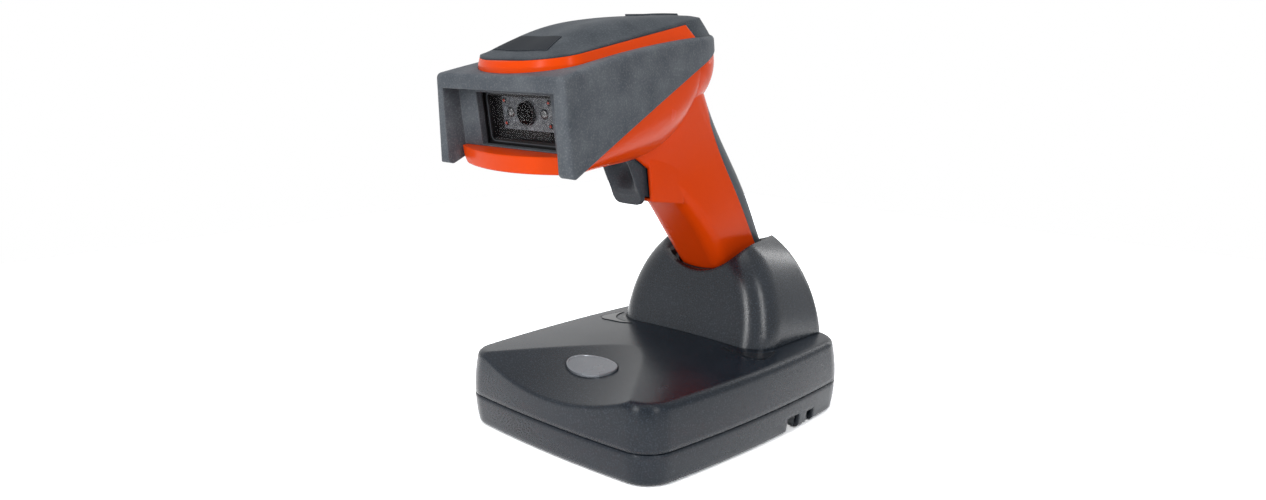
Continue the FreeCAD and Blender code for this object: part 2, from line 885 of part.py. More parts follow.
def bowl(inset):
    """The round tail of the housing under the back of the boot."""
    radius = size.tail_radius - size.boot_proud - inset
    depth = size.tail_depth - inset
    rim = size.bowl_height
    corner = math.sqrt(0.5)
    outline = Part.Wire([
        arc((0, 0, rim - depth), (radius * corner, 0, rim - depth * corner), (radius, 0, rim)),
        line((radius, 0, rim), (radius, 0, size.crown_top)),
        line((radius, 0, size.crown_top), (0, 0, size.crown_top)),
        line((0, 0, size.crown_top), (0, 0, rim - depth)),
    ])
    return Part.Face(outline).revolve(Vector(0, 0, 0), Vector(0, 0, 1), 360)


def chin(inset):
    """Bulging lip between the two flanges, curved in plan and rounded below."""
    half = size.chin_half_width - inset
    reach = size.chin_reach - inset
    side_reach = size.chin_side_reach - inset
    rear = size.flange_depth + size.pad_wall - size.nose_reach + size.parting_gap
    low = size.chin_bottom + inset
    top = size.chin_top - inset
    plan = Part.Face(Part.Wire([
        arc((-half, -side_reach, low), (0, -reach, low), (half, -side_reach, low)),
        line((half, -side_reach, low), (half, rear, low)),
        line((half, rear, low), (-half, rear, low)),
        line((-half, rear, low), (-half, -side_reach, low)),
    ])).extrude(Vector(0, 0, top - low))
    section = belly_wire(NEAR, half, low, size.chin_round - inset)
    trough = Part.Face(section).extrude(Vector(0, -NEAR, 0))
    return plan.common(trough)


def ledge(back):
    """Height of the block's underside, which falls towards the handle."""
    return size.block_bottom - (back - size.block_front) * math.tan(math.radians(size.ledge_fall))


def block():
    """Block at the top of the handle that carries the trigger, widening into the handle."""
    front = size.block_front
    rear = size.block_rear
    slim = size.block_front_half
    wide = size.block_rear_half
    low = 2 * size.block_bottom
    corners = [(-slim, front), (slim, front), (wide, rear), (-wide, rear), (-slim, front)]
    plan = Part.Face(Part.makePolygon([Vector(x, y, low) for x, y in corners]))
    return plan.extrude(Vector(0, 0, size.slot_top + size.shell_wall - low)).common(above(ledge))


def core(inset):
    """The orange housing's outside with the handle, drawn in by inset."""
    body = belly(inset).fuse(bowl(inset)).fuse(moved(handle_body(inset), LEAN))
    return body


SHELL_END = size.handle_length - size.cap_thickness - size.gasket_thickness


def strip_zone(gap):
    """Region of the grey back cover, behind a plane along the handle."""
    half = size.strip_half_width - gap
    deep = -2 * size.handle_length
    zone = box(-half, half, size.strip_plane + gap, 3 * size.tail_radius, deep, -size.strip_top - gap)
    return moved(zone, LEAN)


outer_core = core(0.0)
inner_core = core(size.shell_wall)


def ahead_of_cap(shape):
    """Handle shells stop where the end cap's gasket starts."""
    reach = 3 * size.handle_length
    return shape.cut(moved(box(-reach, reach, -reach, reach, -reach, -SHELL_END), LEAN))


def crossways(diameter, length, y, z):
    """Cylinder along X, centred on the middle plane."""
    return Part.makeCylinder(diameter / 2, length, Vector(-length / 2, y, z), Vector(1, 0, 0))


def lower_housing():
    trigger_block = block()
    plumb = [edge for edge in trigger_block.Edges if upright(edge)]
    nose_edges = [edge for edge in plumb if edge.BoundBox.YMax < size.block_rear - 1.0]
    trigger_block = trigger_block.makeFillet(size.block_round, nose_edges)
    shell = outer_core.common(below(skirt_height, -size.parting_gap)).cut(inner_core)
    shell = shell.fuse(chin(0.0).cut(chin(size.shell_wall)).cut(inner_core)).cut(chin(size.shell_wall))
    shell = shell.cut(strip_zone(0.0)).fuse(trigger_block)
    half = size.trigger_half_width + size.trigger_gap
    slot = box(-half, half, 2 * size.trigger_brow, size.slot_rear, DEEP, size.slot_top)
    slot = slot.common(above(ledge, size.slot_floor))
    pin_hole = crossways(size.pin_diameter, size.pin_length, size.pin_back, size.pin_height)
    shell = shell.cut(slot).cut(pin_hole)
    for side in (-1, 1):
        x = side * size.housing_screw_spread
        y = size.housing_screw_back
        boss = rod(size.boss_diameter, DEEP, size.housing_boss_top, x, y).common(outer_core)
        shell = shell.fuse(boss).cut(rod(size.screw_hole, DEEP, size.crown_top, x, y))
        seat_top = size.housing_screw_seat + size.screw_head_height
        head = rod(size.screw_head + 2 * size.fit_gap, DEEP, seat_top, x, y)
        shell = shell.cut(head)
    return ahead_of_cap(shell)


def grip_back_cover():
    cover = outer_core.cut(inner_core).common(strip_zone(size.parting_gap))
    return ahead_of_cap(cover.common(below(skirt_height, -size.parting_gap)))


def band_wire(inset, height):
    """Plan of the orange band: elliptical nose, long flanks, round tail."""
    half = size.band_half_width - inset
    nose = size.band_nose - inset
    centre = Vector(0, -size.band_shoulder, height)
    tail = size.band_tail - inset
    ellipse = Part.Ellipse(centre + Vector(half, 0, 0), centre + Vector(0, nose, 0), centre)
    front = Part.ArcOfEllipse(ellipse, math.pi, 2 * math.pi).toShape()
    start = front.Vertexes[0].Point
    end = front.Vertexes[-1].Point
    right = Vector(tail, 0, height)
    left = Vector(-tail, 0, height)
    if start.x > end.x:
        start, end = end, start
    return Part.Wire([
        front,
        Part.makeLine(end, right),
        Part.Arc(right, Vector(0, tail, height), left).toShape(),
        Part.makeLine(left, start),
    ])


def band_body(inset):
    wires = [
        band_wire(inset, size.band_root),
        band_wire(inset, size.band_foot),
        band_wire(inset + size.band_lean_in, size.band_peak),
        band_wire(inset + 2 * size.band_lean_in, 2 * size.band_peak - size.band_foot),
    ]
    return Part.makeLoft(wires, True, True)


def ahead_of_band_end(shift):
    """Everything in front of the band's slanted rear end."""
    foot = size.band_end + shift + size.band_end_lean / 2
    head = size.band_end + shift - size.band_end_lean / 2
    run = (head - foot) / (size.band_peak - size.band_foot)
    def at(height):
        return foot + run * (height - size.band_foot)
    return side_slab([(NEAR, DEEP), (at(DEEP), DEEP), (at(SKY), SKY), (NEAR, SKY)])


PAD_FACE = size.flange_depth - size.nose_reach
WALL_BACK = PAD_FACE + size.pad_wall


def rubber_boot():
    outside = head_block(0.0).common(above(skirt_height)).common(below_shoulder())
    rim = [edge for edge in outside.Edges if edge.BoundBox.ZMin > size.shoulder_front - 1.0]
    tall = size.shoulder_front - size.skirt_front
    cheeks = [
        edge for edge in outside.Edges
        if edge.BoundBox.ZLength > 0.9 * tall and edge.BoundBox.YMax < PAD_FACE
    ]
    toe = [
        edge for edge in outside.Edges
        if edge.BoundBox.ZMax < size.skirt_front + 1.0 and edge.BoundBox.XLength > size.nose_half_width
    ]
    outside = outside.makeFillet(size.boot_round, rim + cheeks + toe)
    mouth = size.nose_half_width - size.flange_width
    recess = box(-mouth, mouth, NEAR, PAD_FACE, DEEP, size.brow_bottom)
    hollow = head_block(size.boot_wall, size.flange_depth + size.pad_wall)
    hollow = hollow.common(below_shoulder(-size.boot_wall))
    hollow = hollow.common(box(-FAR, FAR, WALL_BACK, FAR, DEEP, SKY))
    half = size.window_half_width
    window = box(-half, half, NEAR, WALL_BACK + 1.0, size.window_bottom, size.window_top)
    chin_room = box(-mouth, mouth, NEAR, WALL_BACK + 1.0, DEEP, size.chin_top + size.parting_gap)
    crown_hole = band_body(-size.fit_gap)
    return outside.cut(recess).cut(hollow).cut(window).cut(chin_room).cut(crown_hole)


PIPE_BACK = (size.lens_front + size.lens_back) / 2


def upper_housing():
    skin = size.boot_wall + size.fit_gap
    nose = size.flange_depth + size.pad_wall + size.fit_gap
    front = WALL_BACK + size.fit_gap
    behind_wall = box(-FAR, FAR, front, FAR, DEEP, SKY)
    under = head_block(skin, nose).common(below_shoulder(-skin)).common(above(skirt_height)).common(behind_wall)
    band = band_body(0.0).common(below(band_height)).common(ahead_of_band_end(0.0))
    inner_skin = skin + size.shell_wall
    hollow = head_block(inner_skin, 0.0).common(below_shoulder(-inner_skin))
    band_hollow = band_body(size.shell_wall).common(below(band_height, -size.shell_wall))
    band_hollow = band_hollow.common(ahead_of_band_end(-size.shell_wall))
    shell = under.fuse(band).cut(hollow).cut(band_hollow)
    outer = under.fuse(band)
    boss_low = size.housing_boss_top + size.parting_gap
    for side in (-1, 1):
        x = side * size.housing_screw_spread
        y = size.housing_screw_back
        boss = rod(size.boss_diameter, boss_low, size.crown_top, x, y).common(below_shoulder(-skin))
        bore = rod(size.screw_bore, boss_low, boss_low + 2 * size.screw_length, x, y)
        shell = shell.fuse(boss).cut(bore)
        for back in (size.post_front, size.post_rear):
            x = side * size.post_spread
            hanger_low = size.board_low + size.board_thickness
            hanger = rod(size.post_diameter, hanger_low, size.crown_top, x, back).common(outer)
            bore = rod(size.screw_bore, hanger_low, hanger_low + size.screw_length + 2.0, x, back)
            shell = shell.fuse(hanger).cut(bore)
    return shell.cut(rod(size.pipe_diameter + 2 * size.pipe_gap, 0.0, size.crown_top, 0.0, PIPE_BACK))


def crown_ridge(back):
    """Height of the crown along its middle: rising from the nose, then falling gently to the tail."""
    top = size.crown_top
    if back < size.crown_top_back:
        run = size.crown_top_back + size.band_shoulder + size.band_nose
        share = (size.crown_top_back - back) / run
        return top - (top - size.crown_front) * share ** 2
    share = (back - size.crown_top_back) / (size.crown_tail_back - size.crown_top_back)
    return top - (top - size.crown_tail) * share ** 2


def crown_section(back):
    """Outline across the crown: a flat spine falling in soft shoulders to the band."""
    middle = crown_ridge(back)
    edge = min(middle - size.crown_rim, band_height(back) + size.crown_rim)
    flat = size.crown_flat
    wide = size.band_half_width
    points = []
    for share in (1.5, 1.25, 1.0, 0.75, 0.5, 0.25, 0.0):
        fall = (1 - math.cos(math.pi * min(share, 1.0))) / 2
        points.append((flat + share * (wide - flat), middle - fall * (middle - edge)))
    right = [Vector(x, back, height) for x, height in points]
    left = [Vector(-x, back, height) for x, height in reversed(points)]
    top = Part.BSplineCurve()
    top.interpolate(right + [Vector(0, back, middle)] + left)
    floor_right = Vector(right[0].x, back, 0)
    floor_left = Vector(left[-1].x, back, 0)
    sides = [
        Part.makeLine(left[-1], floor_left),
        Part.makeLine(floor_left, floor_right),
        Part.makeLine(floor_right, right[0]),
    ]
    return Part.Wire([top.toShape()] + sides)


def crown_profile(lift=0.0):
    """Everything below the crown's sculpted top and sloping tail, moved up by lift."""
    front = -size.band_shoulder - size.band_nose
    tail = size.crown_tail_back + size.crown_slope_back
    low = size.crown_tail - size.crown_slope_fall
    steps = int(size.crown_steps)
    backs = [front + step * (tail - front) / steps for step in range(steps + 1)]
    roof = Part.makeLoft([crown_section(back) for back in backs], True)
    slope = side_slab([
        (front, 0), (tail, 0), (tail, low), (size.crown_tail_back, size.crown_tail),
        (size.crown_tail_back - size.crown_slope_back, size.crown_tail + size.crown_slope_fall), (front, SKY),
    ])
    roof = roof.common(slope)
    roof.translate(Vector(0, 0, lift))
    return roof


def plate_prism(grow):
    """Upright prism of the crown badge's tapered outline."""
    back = size.plate_back + grow
    front = size.plate_front - grow
    wide = size.plate_front_half + grow
    slim = size.plate_back_half + grow
    face = Part.Face(Part.Wire([
        line((slim, back, 0), (-slim, back, 0)),
        line((-slim, back, 0), (-wide, front, 0)),
        arc((-wide, front, 0), (0, front - size.plate_bow, 0), (wide, front, 0)),
        line((wide, front, 0), (slim, back, 0)),
    ]))
    return face.extrude(Vector(0, 0, 2 * size.crown_top))


def crown_badge():
    low = size.plate_stand - size.plate_thickness
    return plate_prism(0.0).common(crown_profile(size.plate_stand)).cut(crown_profile(low))


def scan_status_lens():
    half = size.lens_half_width
    low = -size.lens_sink - size.lens_thickness + size.ridge_stand
    face = box(-half, half, size.lens_front, size.lens_back, 0, SKY)
    face = face.common(crown_profile(size.ridge_stand - size.lens_sink)).cut(crown_profile(low))
    led_top = size.board_low + size.board_thickness + size.led_height
    stem = rod(size.pipe_diameter, led_top + size.pipe_gap, size.crown_tail, 0.0, PIPE_BACK)
    return face.fuse(stem)


def crown_pad():
    upper = band_body(0.0).common(above(band_height, size.parting_gap))
    seat_drop = size.parting_gap - size.boot_wall - size.fit_gap
    tail = band_body(0.0).cut(below_shoulder(seat_drop)).cut(ahead_of_band_end(size.parting_gap))
    body = upper.fuse(tail).common(crown_profile())
    half = size.ridge_half_width
    ridge = box(-half, half, size.ridge_front, size.ridge_back, size.band_foot, SKY)
    ridge = ridge.common(crown_profile(size.ridge_stand)).cut(crown_profile(-size.ridge_stand))
    body = body.fuse(ridge)
    low = size.plate_stand - size.plate_thickness - size.parting_gap
    badge_pocket = plate_prism(size.fit_gap).cut(crown_profile(low))
    half = size.lens_half_width + size.fit_gap
    low = size.ridge_stand - size.lens_sink - size.lens_thickness - size.parting_gap
    lens_pocket = box(-half, half, size.lens_front - size.fit_gap, size.lens_back + size.fit_gap, 0, SKY)
    lens_pocket = lens_pocket.cut(crown_profile(low))
    pipe = rod(size.pipe_diameter + 2 * size.pipe_gap, 0.0, size.crown_top, 0.0, PIPE_BACK)
    return body.cut(badge_pocket).cut(lens_pocket).cut(pipe)


# ---------------------------------------------------------------- base shells


TRAY_SCREWS = [
    (side * size.tray_screw_spread, back)
    for side in (-1, 1) for back in (size.tray_screw_front, size.tray_screw_rear)
]
DOME_SCREWS = [
    (side * size.dome_screw_spread, back)
    for side in (-1, 1) for back in (size.dome_screw_front, size.dome_screw_rear)
]
SEAT_FLOOR = size.deck_height - size.deck_crown - size.dome_sink


def lamp_outline(grow):
    """Crescent beside the dome's front corner, as a tall prism."""
    outer = size.lamp_outer + grow
    front = size.lamp_front - grow
    radius = size.lamp_round
    corner = radius * (1 - math.sqrt(0.5))
    blunt = size.lamp_tip / 2 + grow
    tip_x = size.lamp_inner - grow
    tip_y = size.lamp_front + size.lamp_start
    heel_x = size.lamp_outer - size.lamp_end
    heel_y = size.lamp_rear + grow
    waist = (size.lamp_waist_x - grow, size.lamp_waist_y + grow, 0)
    face = Part.Face(Part.Wire([
        arc((heel_x - blunt, heel_y, 0), waist, (tip_x, tip_y + blunt, 0)),
        line((tip_x, tip_y + blunt, 0), (tip_x, tip_y - blunt, 0)),
        line((tip_x, tip_y - blunt, 0), (size.lamp_inner + radius, front, 0)),
        line((size.lamp_inner + radius, front, 0), (outer - radius, front, 0)),
        arc((outer - radius, front, 0), (outer - corner, front + corner, 0), (outer, front + radius, 0)),
        line((outer, front + radius, 0), (heel_x + blunt, heel_y, 0)),
        line((heel_x + blunt, heel_y, 0), (heel_x - blunt, heel_y, 0)),
    ]))
    return face.extrude(Vector(0, 0, 2 * size.deck_height))


def status_lens():
    face = lamp_outline(0.0).common(crown_roof(-size.lamp_stand))
    face = face.cut(crown_roof(size.lamp_thickness - size.lamp_stand))
    led_top = size.base_board_low + size.board_thickness + size.led_height
    stem_low = led_top + size.pipe_gap
    stem = rod(size.lamp_stem_diameter, stem_low, size.deck_height, size.lamp_stem_x, size.lamp_stem_y)
    return face.fuse(stem.common(crown_roof(size.lamp_thickness / 2)))


def mirrored(shape):
    return shape.mirror(Vector(0, 0, 0), Vector(1, 0, 0))


def badge_prism(grow):
    ring = Part.Ellipse(Vector(0, 0, 0), size.badge_half_width + grow, size.badge_half_depth + grow)
    face = Part.Face(Part.Wire([ring.toShape()]))
    face.translate(Vector(0, size.badge_back, 0))
    return face.extrude(Vector(0, 0, 2 * size.deck_height))


def base_badge():
    return badge_prism(0.0).common(dish(size.badge_thickness - size.badge_stand)).cut(dish(-size.badge_stand))


WELL_SKIN = size.well_clear + size.well_wall
MOUTH_SKIN = size.mouth_clear + size.well_wall
WELL_TOP = size.handle_length + size.well_clear
WELL_BOTTOM = WELL_TOP + size.well_floor


def well_body(grow, bottom, mouth=None):
    """The handle's lower end grown by a clearance and carried down to a floor, with a wider mouth."""
    sump = Part.Face(heel_outline(size.handle_length, -grow)).extrude(Vector(0, 0, size.handle_length - bottom))
    body = handle_body(-grow).fuse(sump)
    if mouth is not None:
        mouth_grow, mouth_drop = mouth
        reach = 2 * size.handle_length
        body = body.fuse(handle_body(-mouth_grow).common(box(-reach, reach, -reach, reach, -mouth_drop, reach)))
    return moved(body, HANDLE_ON_DESK)


def holster_well():
    half = size.well_window_half_width
    deep = size.well_window_half_depth
    window = moved(box(-half, half, -deep, deep, -2 * size.handle_length, 0), HANDLE_ON_DESK)
    outside = well_body(WELL_SKIN, WELL_BOTTOM, (MOUTH_SKIN, size.mouth_drop + size.well_wall))
    sleeve = outside.cut(well_body(size.well_clear, WELL_TOP, (size.mouth_clear, size.mouth_drop))).cut(window)
    high = size.saddle_low + size.saddle_radius
    sleeve = sleeve.cut(saddle(0.0)).common(box(-FAR, FAR, 0, size.base_length, 0, high))
    sleeve = sleeve.common(dome_body(size.dome_wall + size.fit_gap))
    return max(sleeve.Solids, key=lambda solid: solid.Volume)


def holster_dome():
    outside = level(dome_body(0.0), SEAT_FLOOR, 2 * size.dome_rise)
    inside = level(dome_body(size.dome_wall), 0.0, 2 * size.dome_rise).cut(saddle(size.dome_wall))
    shell = outside.cut(saddle(0.0)).cut(inside)
    for x, y in DOME_SCREWS:
        post = rod(size.boss_diameter, SEAT_FLOOR, SEAT_FLOOR + size.boss_height, x, y).common(outside)
        bore = rod(size.screw_bore, SEAT_FLOOR, SEAT_FLOOR + size.boss_height - size.base_wall, x, y)
        shell = shell.fuse(post).cut(bore)
    mouth_low = size.mouth_drop + size.well_wall + size.fit_gap
    mouth = (MOUTH_SKIN + size.fit_gap, mouth_low)
    hole = well_body(WELL_SKIN + size.fit_gap, WELL_BOTTOM + size.fit_gap, mouth)
    shell = shell.cut(hole.common(dome_body(size.dome_wall)))
    half = size.heel_relief_half_width
    relief = (size.heel_rest_back, size.heel_relief_back)
    return shell.cut(box(-half, half, *relief, size.heel_rest_height, 2 * size.dome_rise))


def base_cover():
    bottom = size.seam_height + size.seam_gap / 2
    outside = base_body(0.0).common(crown_roof(0.0))
    rim_low = size.deck_height - size.deck_crown - 1.0
    rim = [edge for edge in outside.Edges if edge.BoundBox.ZMin > rim_low]
    outside = outside.makeFillet(size.deck_edge_round, rim).cut(dish(0.0))
    inside = base_body(size.base_wall).common(crown_roof(size.base_wall)).cut(dish(size.base_wall))
    shell = level(outside, bottom, size.deck_height).cut(level(inside, 0.0, size.deck_height))
    pad = level(dome_body(-size.base_wall), SEAT_FLOOR - size.base_wall, size.deck_height).common(outside)
    shell = shell.fuse(pad)
    recess = level(dome_body(-size.dome_gap), SEAT_FLOOR, 2 * size.deck_height)
    side = size.dome_half_width + size.dome_gap
    rear = size.dome_rear - size.dome_rear_round
    behind = box(-side, side, rear, size.base_length, SEAT_FLOOR, 2 * size.deck_height)
    opening = level(dome_body(size.dome_ledge), size.seam_height, 2 * size.deck_height)
    shell = shell.cut(recess).cut(behind).cut(opening)
    for x, y in TRAY_SCREWS:
        boss = rod(size.boss_diameter, FLOOR, size.deck_height, x, y).common(outside)
        shell = shell.fuse(boss).cut(rod(size.screw_bore, FLOOR, FLOOR + size.screw_length + 1.0, x, y))
    for x, y in DOME_SCREWS:
        shell = shell.cut(rod(size.screw_hole, 0, SEAT_FLOOR, x, y))
    pocket_floor = size.lamp_thickness - size.lamp_stand + size.parting_gap
    pocket = lamp_outline(size.fit_gap).cut(crown_roof(pocket_floor))
    stem_hole = size.lamp_stem_diameter + 2 * size.fit_gap
    pocket = pocket.fuse(rod(stem_hole, 0, size.deck_height, size.lamp_stem_x, size.lamp_stem_y))
    badge_floor = dish(size.badge_thickness - size.badge_stand + size.parting_gap)
    badge_pocket = badge_prism(size.fit_gap).common(badge_floor)
    return shell.cut(pocket).cut(mirrored(pocket)).cut(badge_pocket)


def base_tray():
    outside = base_body(0.0)
    floor_edge = [edge for edge in outside.Edges if edge.BoundBox.ZMax < size.foot_lift + 0.1]
    outside = outside.makeFillet(size.floor_edge_round, floor_edge)
    inside = base_body(size.base_wall)
    lip = base_body(size.seam_reveal)
    low = size.seam_height - size.seam_gap / 2
    high = size.seam_height + size.seam_gap / 2
    shell = level(outside, 0.0, low).fuse(level(lip, low - 1.0, high))
    shell = shell.cut(level(inside, FLOOR, high + 1.0)).removeSplitter()
    wall = size.base_wall
    bay_ends = (size.bay_front - wall, size.bay_rear + wall)
    bay = box(size.bay_inner - wall, size.bay_outer, *bay_ends, FLOOR, size.bay_top + wall)
    shell = shell.fuse(bay.common(inside))
    room = box(size.bay_inner, size.bay_outer, size.bay_front, size.bay_rear, 0, size.bay_top)
    shell = shell.cut(room.common(inside))
    notches = [
        (size.data_notch_back, size.data_notch_half, size.data_notch_top),
        (size.power_notch_back, size.power_notch_half, size.power_notch_top),
    ]
    for back, half, top in notches:
        shell = shell.cut(box(size.bay_outer - 2 * wall, size.base_width, back - half, back + half, 0, top))
    jack_low = size.base_board_low - size.jack_height - size.fit_gap
    jacks = [
        (size.data_notch_back, size.data_jack_half_width + size.fit_gap),
        (size.power_notch_back, size.power_jack_half_width + size.fit_gap),
    ]
    for back, half in jacks:
        jack_ends = (back - half, back + half)
        mouth = box(size.bay_inner - 2 * wall, size.bay_inner, *jack_ends, jack_low, size.base_board_low)
        shell = shell.cut(mouth)
    for side in (-1, 1):
        for back in (size.standoff_front, size.standoff_rear):
            x = side * size.standoff_spread
            shell = shell.fuse(rod(size.standoff_diameter, FLOOR, size.base_board_low, x, back))
            shell = shell.cut(rod(size.screw_bore, FLOOR, size.base_board_low, x, back))
        for back in (-size.foot_reach, size.foot_reach):
            foot_room = size.foot_diameter + 2 * size.fit_gap
            recess = rod(foot_room, 0, size.foot_lift + size.foot_recess, side * size.foot_spread, back)
            shell = shell.cut(recess)
    for x, y in TRAY_SCREWS:
        head = rod(size.screw_head + 2 * size.fit_gap, 0, size.foot_lift + size.screw_head_height, x, y)
        shell = shell.cut(head).cut(rod(size.screw_hole, 0, FLOOR, x, y))
    return shell


def contact_ribbon():
    half = size.ribbon_half_width
    low = size.base_board_low + size.board_thickness
    strip = box(-half, half, size.ribbon_back, size.ribbon_back + size.ribbon_thickness, low, size.saddle_low)
    reach = size.base_length
    bottom = WELL_BOTTOM + size.contact_height + size.parting_gap
    return strip.cut(moved(box(-reach, reach, -reach, reach, -bottom, reach), HANDLE_ON_DESK))


freeform("base_tray", DESK, base_tray())
freeform("base_cover", DESK, base_cover())
freeform("holster_dome", DESK, holster_dome())
freeform("holster_well", DESK, holster_well())
freeform("base_badge", DESK, base_badge())
freeform("status_lens_right", DESK, status_lens())
freeform("status_lens_left", DESK, mirrored(status_lens()))
freeform("contact_ribbon", DESK, contact_ribbon())
freeform("lower_housing", SCANNER, lower_housing())
freeform("grip_back_cover", SCANNER, grip_back_cover())
freeform("rubber_boot", SCANNER, rubber_boot())
freeform("upper_housing", SCANNER, upper_housing())
freeform("crown_pad", SCANNER, crown_pad())
freeform("crown_badge", SCANNER, crown_badge())
freeform("scan_status_lens", SCANNER, scan_status_lens())

# ---------------------------------------------------------------- pieces inside the base

FLOOR_TOP = "(foot_lift + base_wall)"
BOARD_TOP = "(base_board_low + board_thickness)"
PAIR = ("-1", "1")


def plate(x, y, z, holes=()):
    """Body padded from one rectangle and its round holes."""
    body = new_body()
    drawing = drawn(body, "XY_Plane", z[0])
    rectangle(drawing, x, y)
    for diameter, hole_x, hole_y in holes:
        circle(drawing, diameter, hole_x, hole_y)
    raised(drawing, f"({z[1]}) - ({z[0]})")
    return body


def upright_plate(x, z, front, depth, holes=()):
    """Body padded backwards from a front plane, out of one sketch."""
    body = new_body()
    drawing = drawn(body, "XZ_Plane", f"-(({front}) + ({depth}))")
    rectangle(drawing, x, z)
    for diameter, hole_x, hole_z in holes:
        circle(drawing, diameter, hole_x, hole_z)
    raised(drawing, depth)
    return body


feet = new_body()
feet_outline = drawn(feet, "XY_Plane", "0")
for side in PAIR:
    for end in PAIR:
        circle(feet_outline, "foot_diameter", f"{side} * foot_spread", f"{end} * foot_reach")
raised(feet_outline, "foot_lift + foot_recess")
seat(feet, "rubber_feet", DESK)

tray_screws = [
    screw(f"{side} * tray_screw_spread", back, "foot_lift", True)
    for side in PAIR for back in ("tray_screw_front", "tray_screw_rear")
]
seat(grouped(*tray_screws), "tray_screws", DESK)

dome_seat = "(deck_height - deck_crown - dome_sink - base_wall - screw_head_height)"
dome_screws = [
    screw(f"{side} * dome_screw_spread", back, dome_seat, True)
    for side in PAIR for back in ("dome_screw_front", "dome_screw_rear")
]
seat(grouped(*dome_screws), "dome_screws", DESK)

ballast = plate(
    ("-ballast_half_width", "ballast_half_width"),
    ("ballast_front", "ballast_rear"),
    (FLOOR_TOP, f"{FLOOR_TOP} + ballast_thickness"),
)
softened(ballast.Tip, "ballast_thickness / 2", upright, "Chamfer")
seat(ballast, "ballast_plate", DESK)

standoffs = [
    (f"{side} * standoff_spread", back)
    for side in PAIR for back in ("standoff_front", "standoff_rear")
]
board = plate(
    ("-base_board_half_width", "base_board_half_width"),
    ("base_board_front", "base_board_rear"),
    ("base_board_low", BOARD_TOP),
    [("screw_hole", x, y) for x, y in standoffs],
)
seat(board, "base_board", DESK)
board_screws = [screw(x, y, f"{BOARD_TOP} + screw_head_height", False) for x, y in standoffs]
seat(grouped(*board_screws), "board_screws", DESK)

radio = slab(
    ("-base_radio_spread - base_radio_half", "-base_radio_spread + base_radio_half"),
    ("base_radio_back - base_radio_half", "base_radio_back + base_radio_half"),
    (BOARD_TOP, f"{BOARD_TOP} + radio_thickness"),
)
seat(radio, "base_radio_module", DESK)

lamps = [
    slab(
        (f"{side} * lamp_stem_x - led_half", f"{side} * lamp_stem_x + led_half"),
        ("lamp_stem_y - led_half", "lamp_stem_y + led_half"),
        (BOARD_TOP, f"{BOARD_TOP} + led_height"),
    )
    for side in PAIR
]
seat(grouped(*lamps), "base_leds", DESK)


def jack_shell(half, back, depth):
    low = "(base_board_low - jack_height)"
    return slab(
        (f"bay_inner - {depth}", "bay_inner"),
        (f"{back} - {half}", f"{back} + {half}"),
        (low, "base_board_low"),
    )


data_socket = slab(
    ("bay_inner - data_jack_depth + 2 * jack_wall", "bay_inner"),
    (
        "data_notch_back - data_jack_half_width + jack_wall",
        "data_notch_back + data_jack_half_width - jack_wall",
    ),
    ("base_board_low - jack_height + jack_wall", "base_board_low - jack_wall"),
)
data_jack = cut(jack_shell("data_jack_half_width", "data_notch_back", "data_jack_depth"), data_socket)
seat(data_jack, "data_jack", DESK)
jack_axis = "base_board_low - jack_height / 2"
power_room = ("bay_inner - power_jack_depth + 2 * jack_wall", "bay_inner")
power_pin = peg("jack_pin", ("bay_inner - power_jack_depth + jack_wall", "bay_inner - jack_wall"),
                "power_notch_back", jack_axis, "x")
power_socket = peg("jack_hole", power_room, "power_notch_back", jack_axis, "x")
power_shell = jack_shell("power_jack_half_width", "power_notch_back", "power_jack_depth")
seat(joined(cut(power_shell, power_socket), power_pin), "power_jack", DESK)

# contacts under the well, in the handle's frame
well_bottom = "(handle_length + well_clear + well_floor)"
probe_tip = "-(handle_length + probe_gap)"
probe_end = "-(handle_length + probe_gap + probe_length)"
spring_end = f"{probe_end} - probe_spring_length"
places = [f"{step} * contact_pitch" for step in ("-1.5", "-0.5", "0.5", "1.5")]
contact_body = slab(
    ("-contact_half_width", "contact_half_width"),
    ("-contact_half_depth", "contact_half_depth"),
    (f"-({well_bottom} + contact_height)", f"-{well_bottom}"),
)
nose_block = slab(
    ("-well_window_half_width + fit_gap", "well_window_half_width - fit_gap"),
    ("-well_window_half_depth + fit_gap", "well_window_half_depth - fit_gap"),
    (f"-{well_bottom}", "-(handle_length + 2 * well_clear)"),
)
bores = [peg("probe_diameter + 2 * probe_fit", x, "0", (spring_end, "0")) for x in places]
seat(cut(joined(contact_body, nose_block), *bores), "contact_block", HANDLE)
probes = [peg("probe_diameter", x, "0", (probe_end, probe_tip)) for x in places]
seat(grouped(*probes), "contact_pins", HANDLE)
coils = [tube("probe_diameter", "probe_spring_bore", x, "0", (spring_end, probe_end)) for x in places]
seat(grouped(*coils), "contact_springs", HANDLE)

# ---------------------------------------------------------------- window and scan engine

wall_back = "(flange_depth + pad_wall - nose_reach)"
glass_front = f"({wall_back} + gasket_depth)"
frame_front = f"({glass_front} + glass_thickness)"


def window_ring(outer, inner, front, depth):
    """Rectangular ring around the window: grown outside, inside edge given by a lap."""
    body = new_body()
    drawing = drawn(body, "XZ_Plane", f"-(({front}) + ({depth}))")
    for grow in (outer, inner):
        rectangle(
            drawing,
            (f"-(window_half_width + {grow})", f"window_half_width + {grow}"),
            (f"window_bottom - ({grow})", f"window_top + {grow}"),
        )
    raised(drawing, depth)
    return body


seat(window_ring("gasket_width", "0.0", wall_back, "gasket_depth"), "window_gasket", SCANNER)
glass = upright_plate(
    ("-(window_half_width + glass_margin)", "window_half_width + glass_margin"),
    ("window_bottom - glass_margin", "window_top + glass_margin"),
    glass_front,
    "glass_thickness",
)
softened(glass.Tip, "glass_margin", deepwise)
seat(glass, "window_glass", SCANNER)
window_frame = window_ring("frame_margin", "-frame_lap", frame_front, "frame_depth")
seat(window_frame, "window_frame", SCANNER)

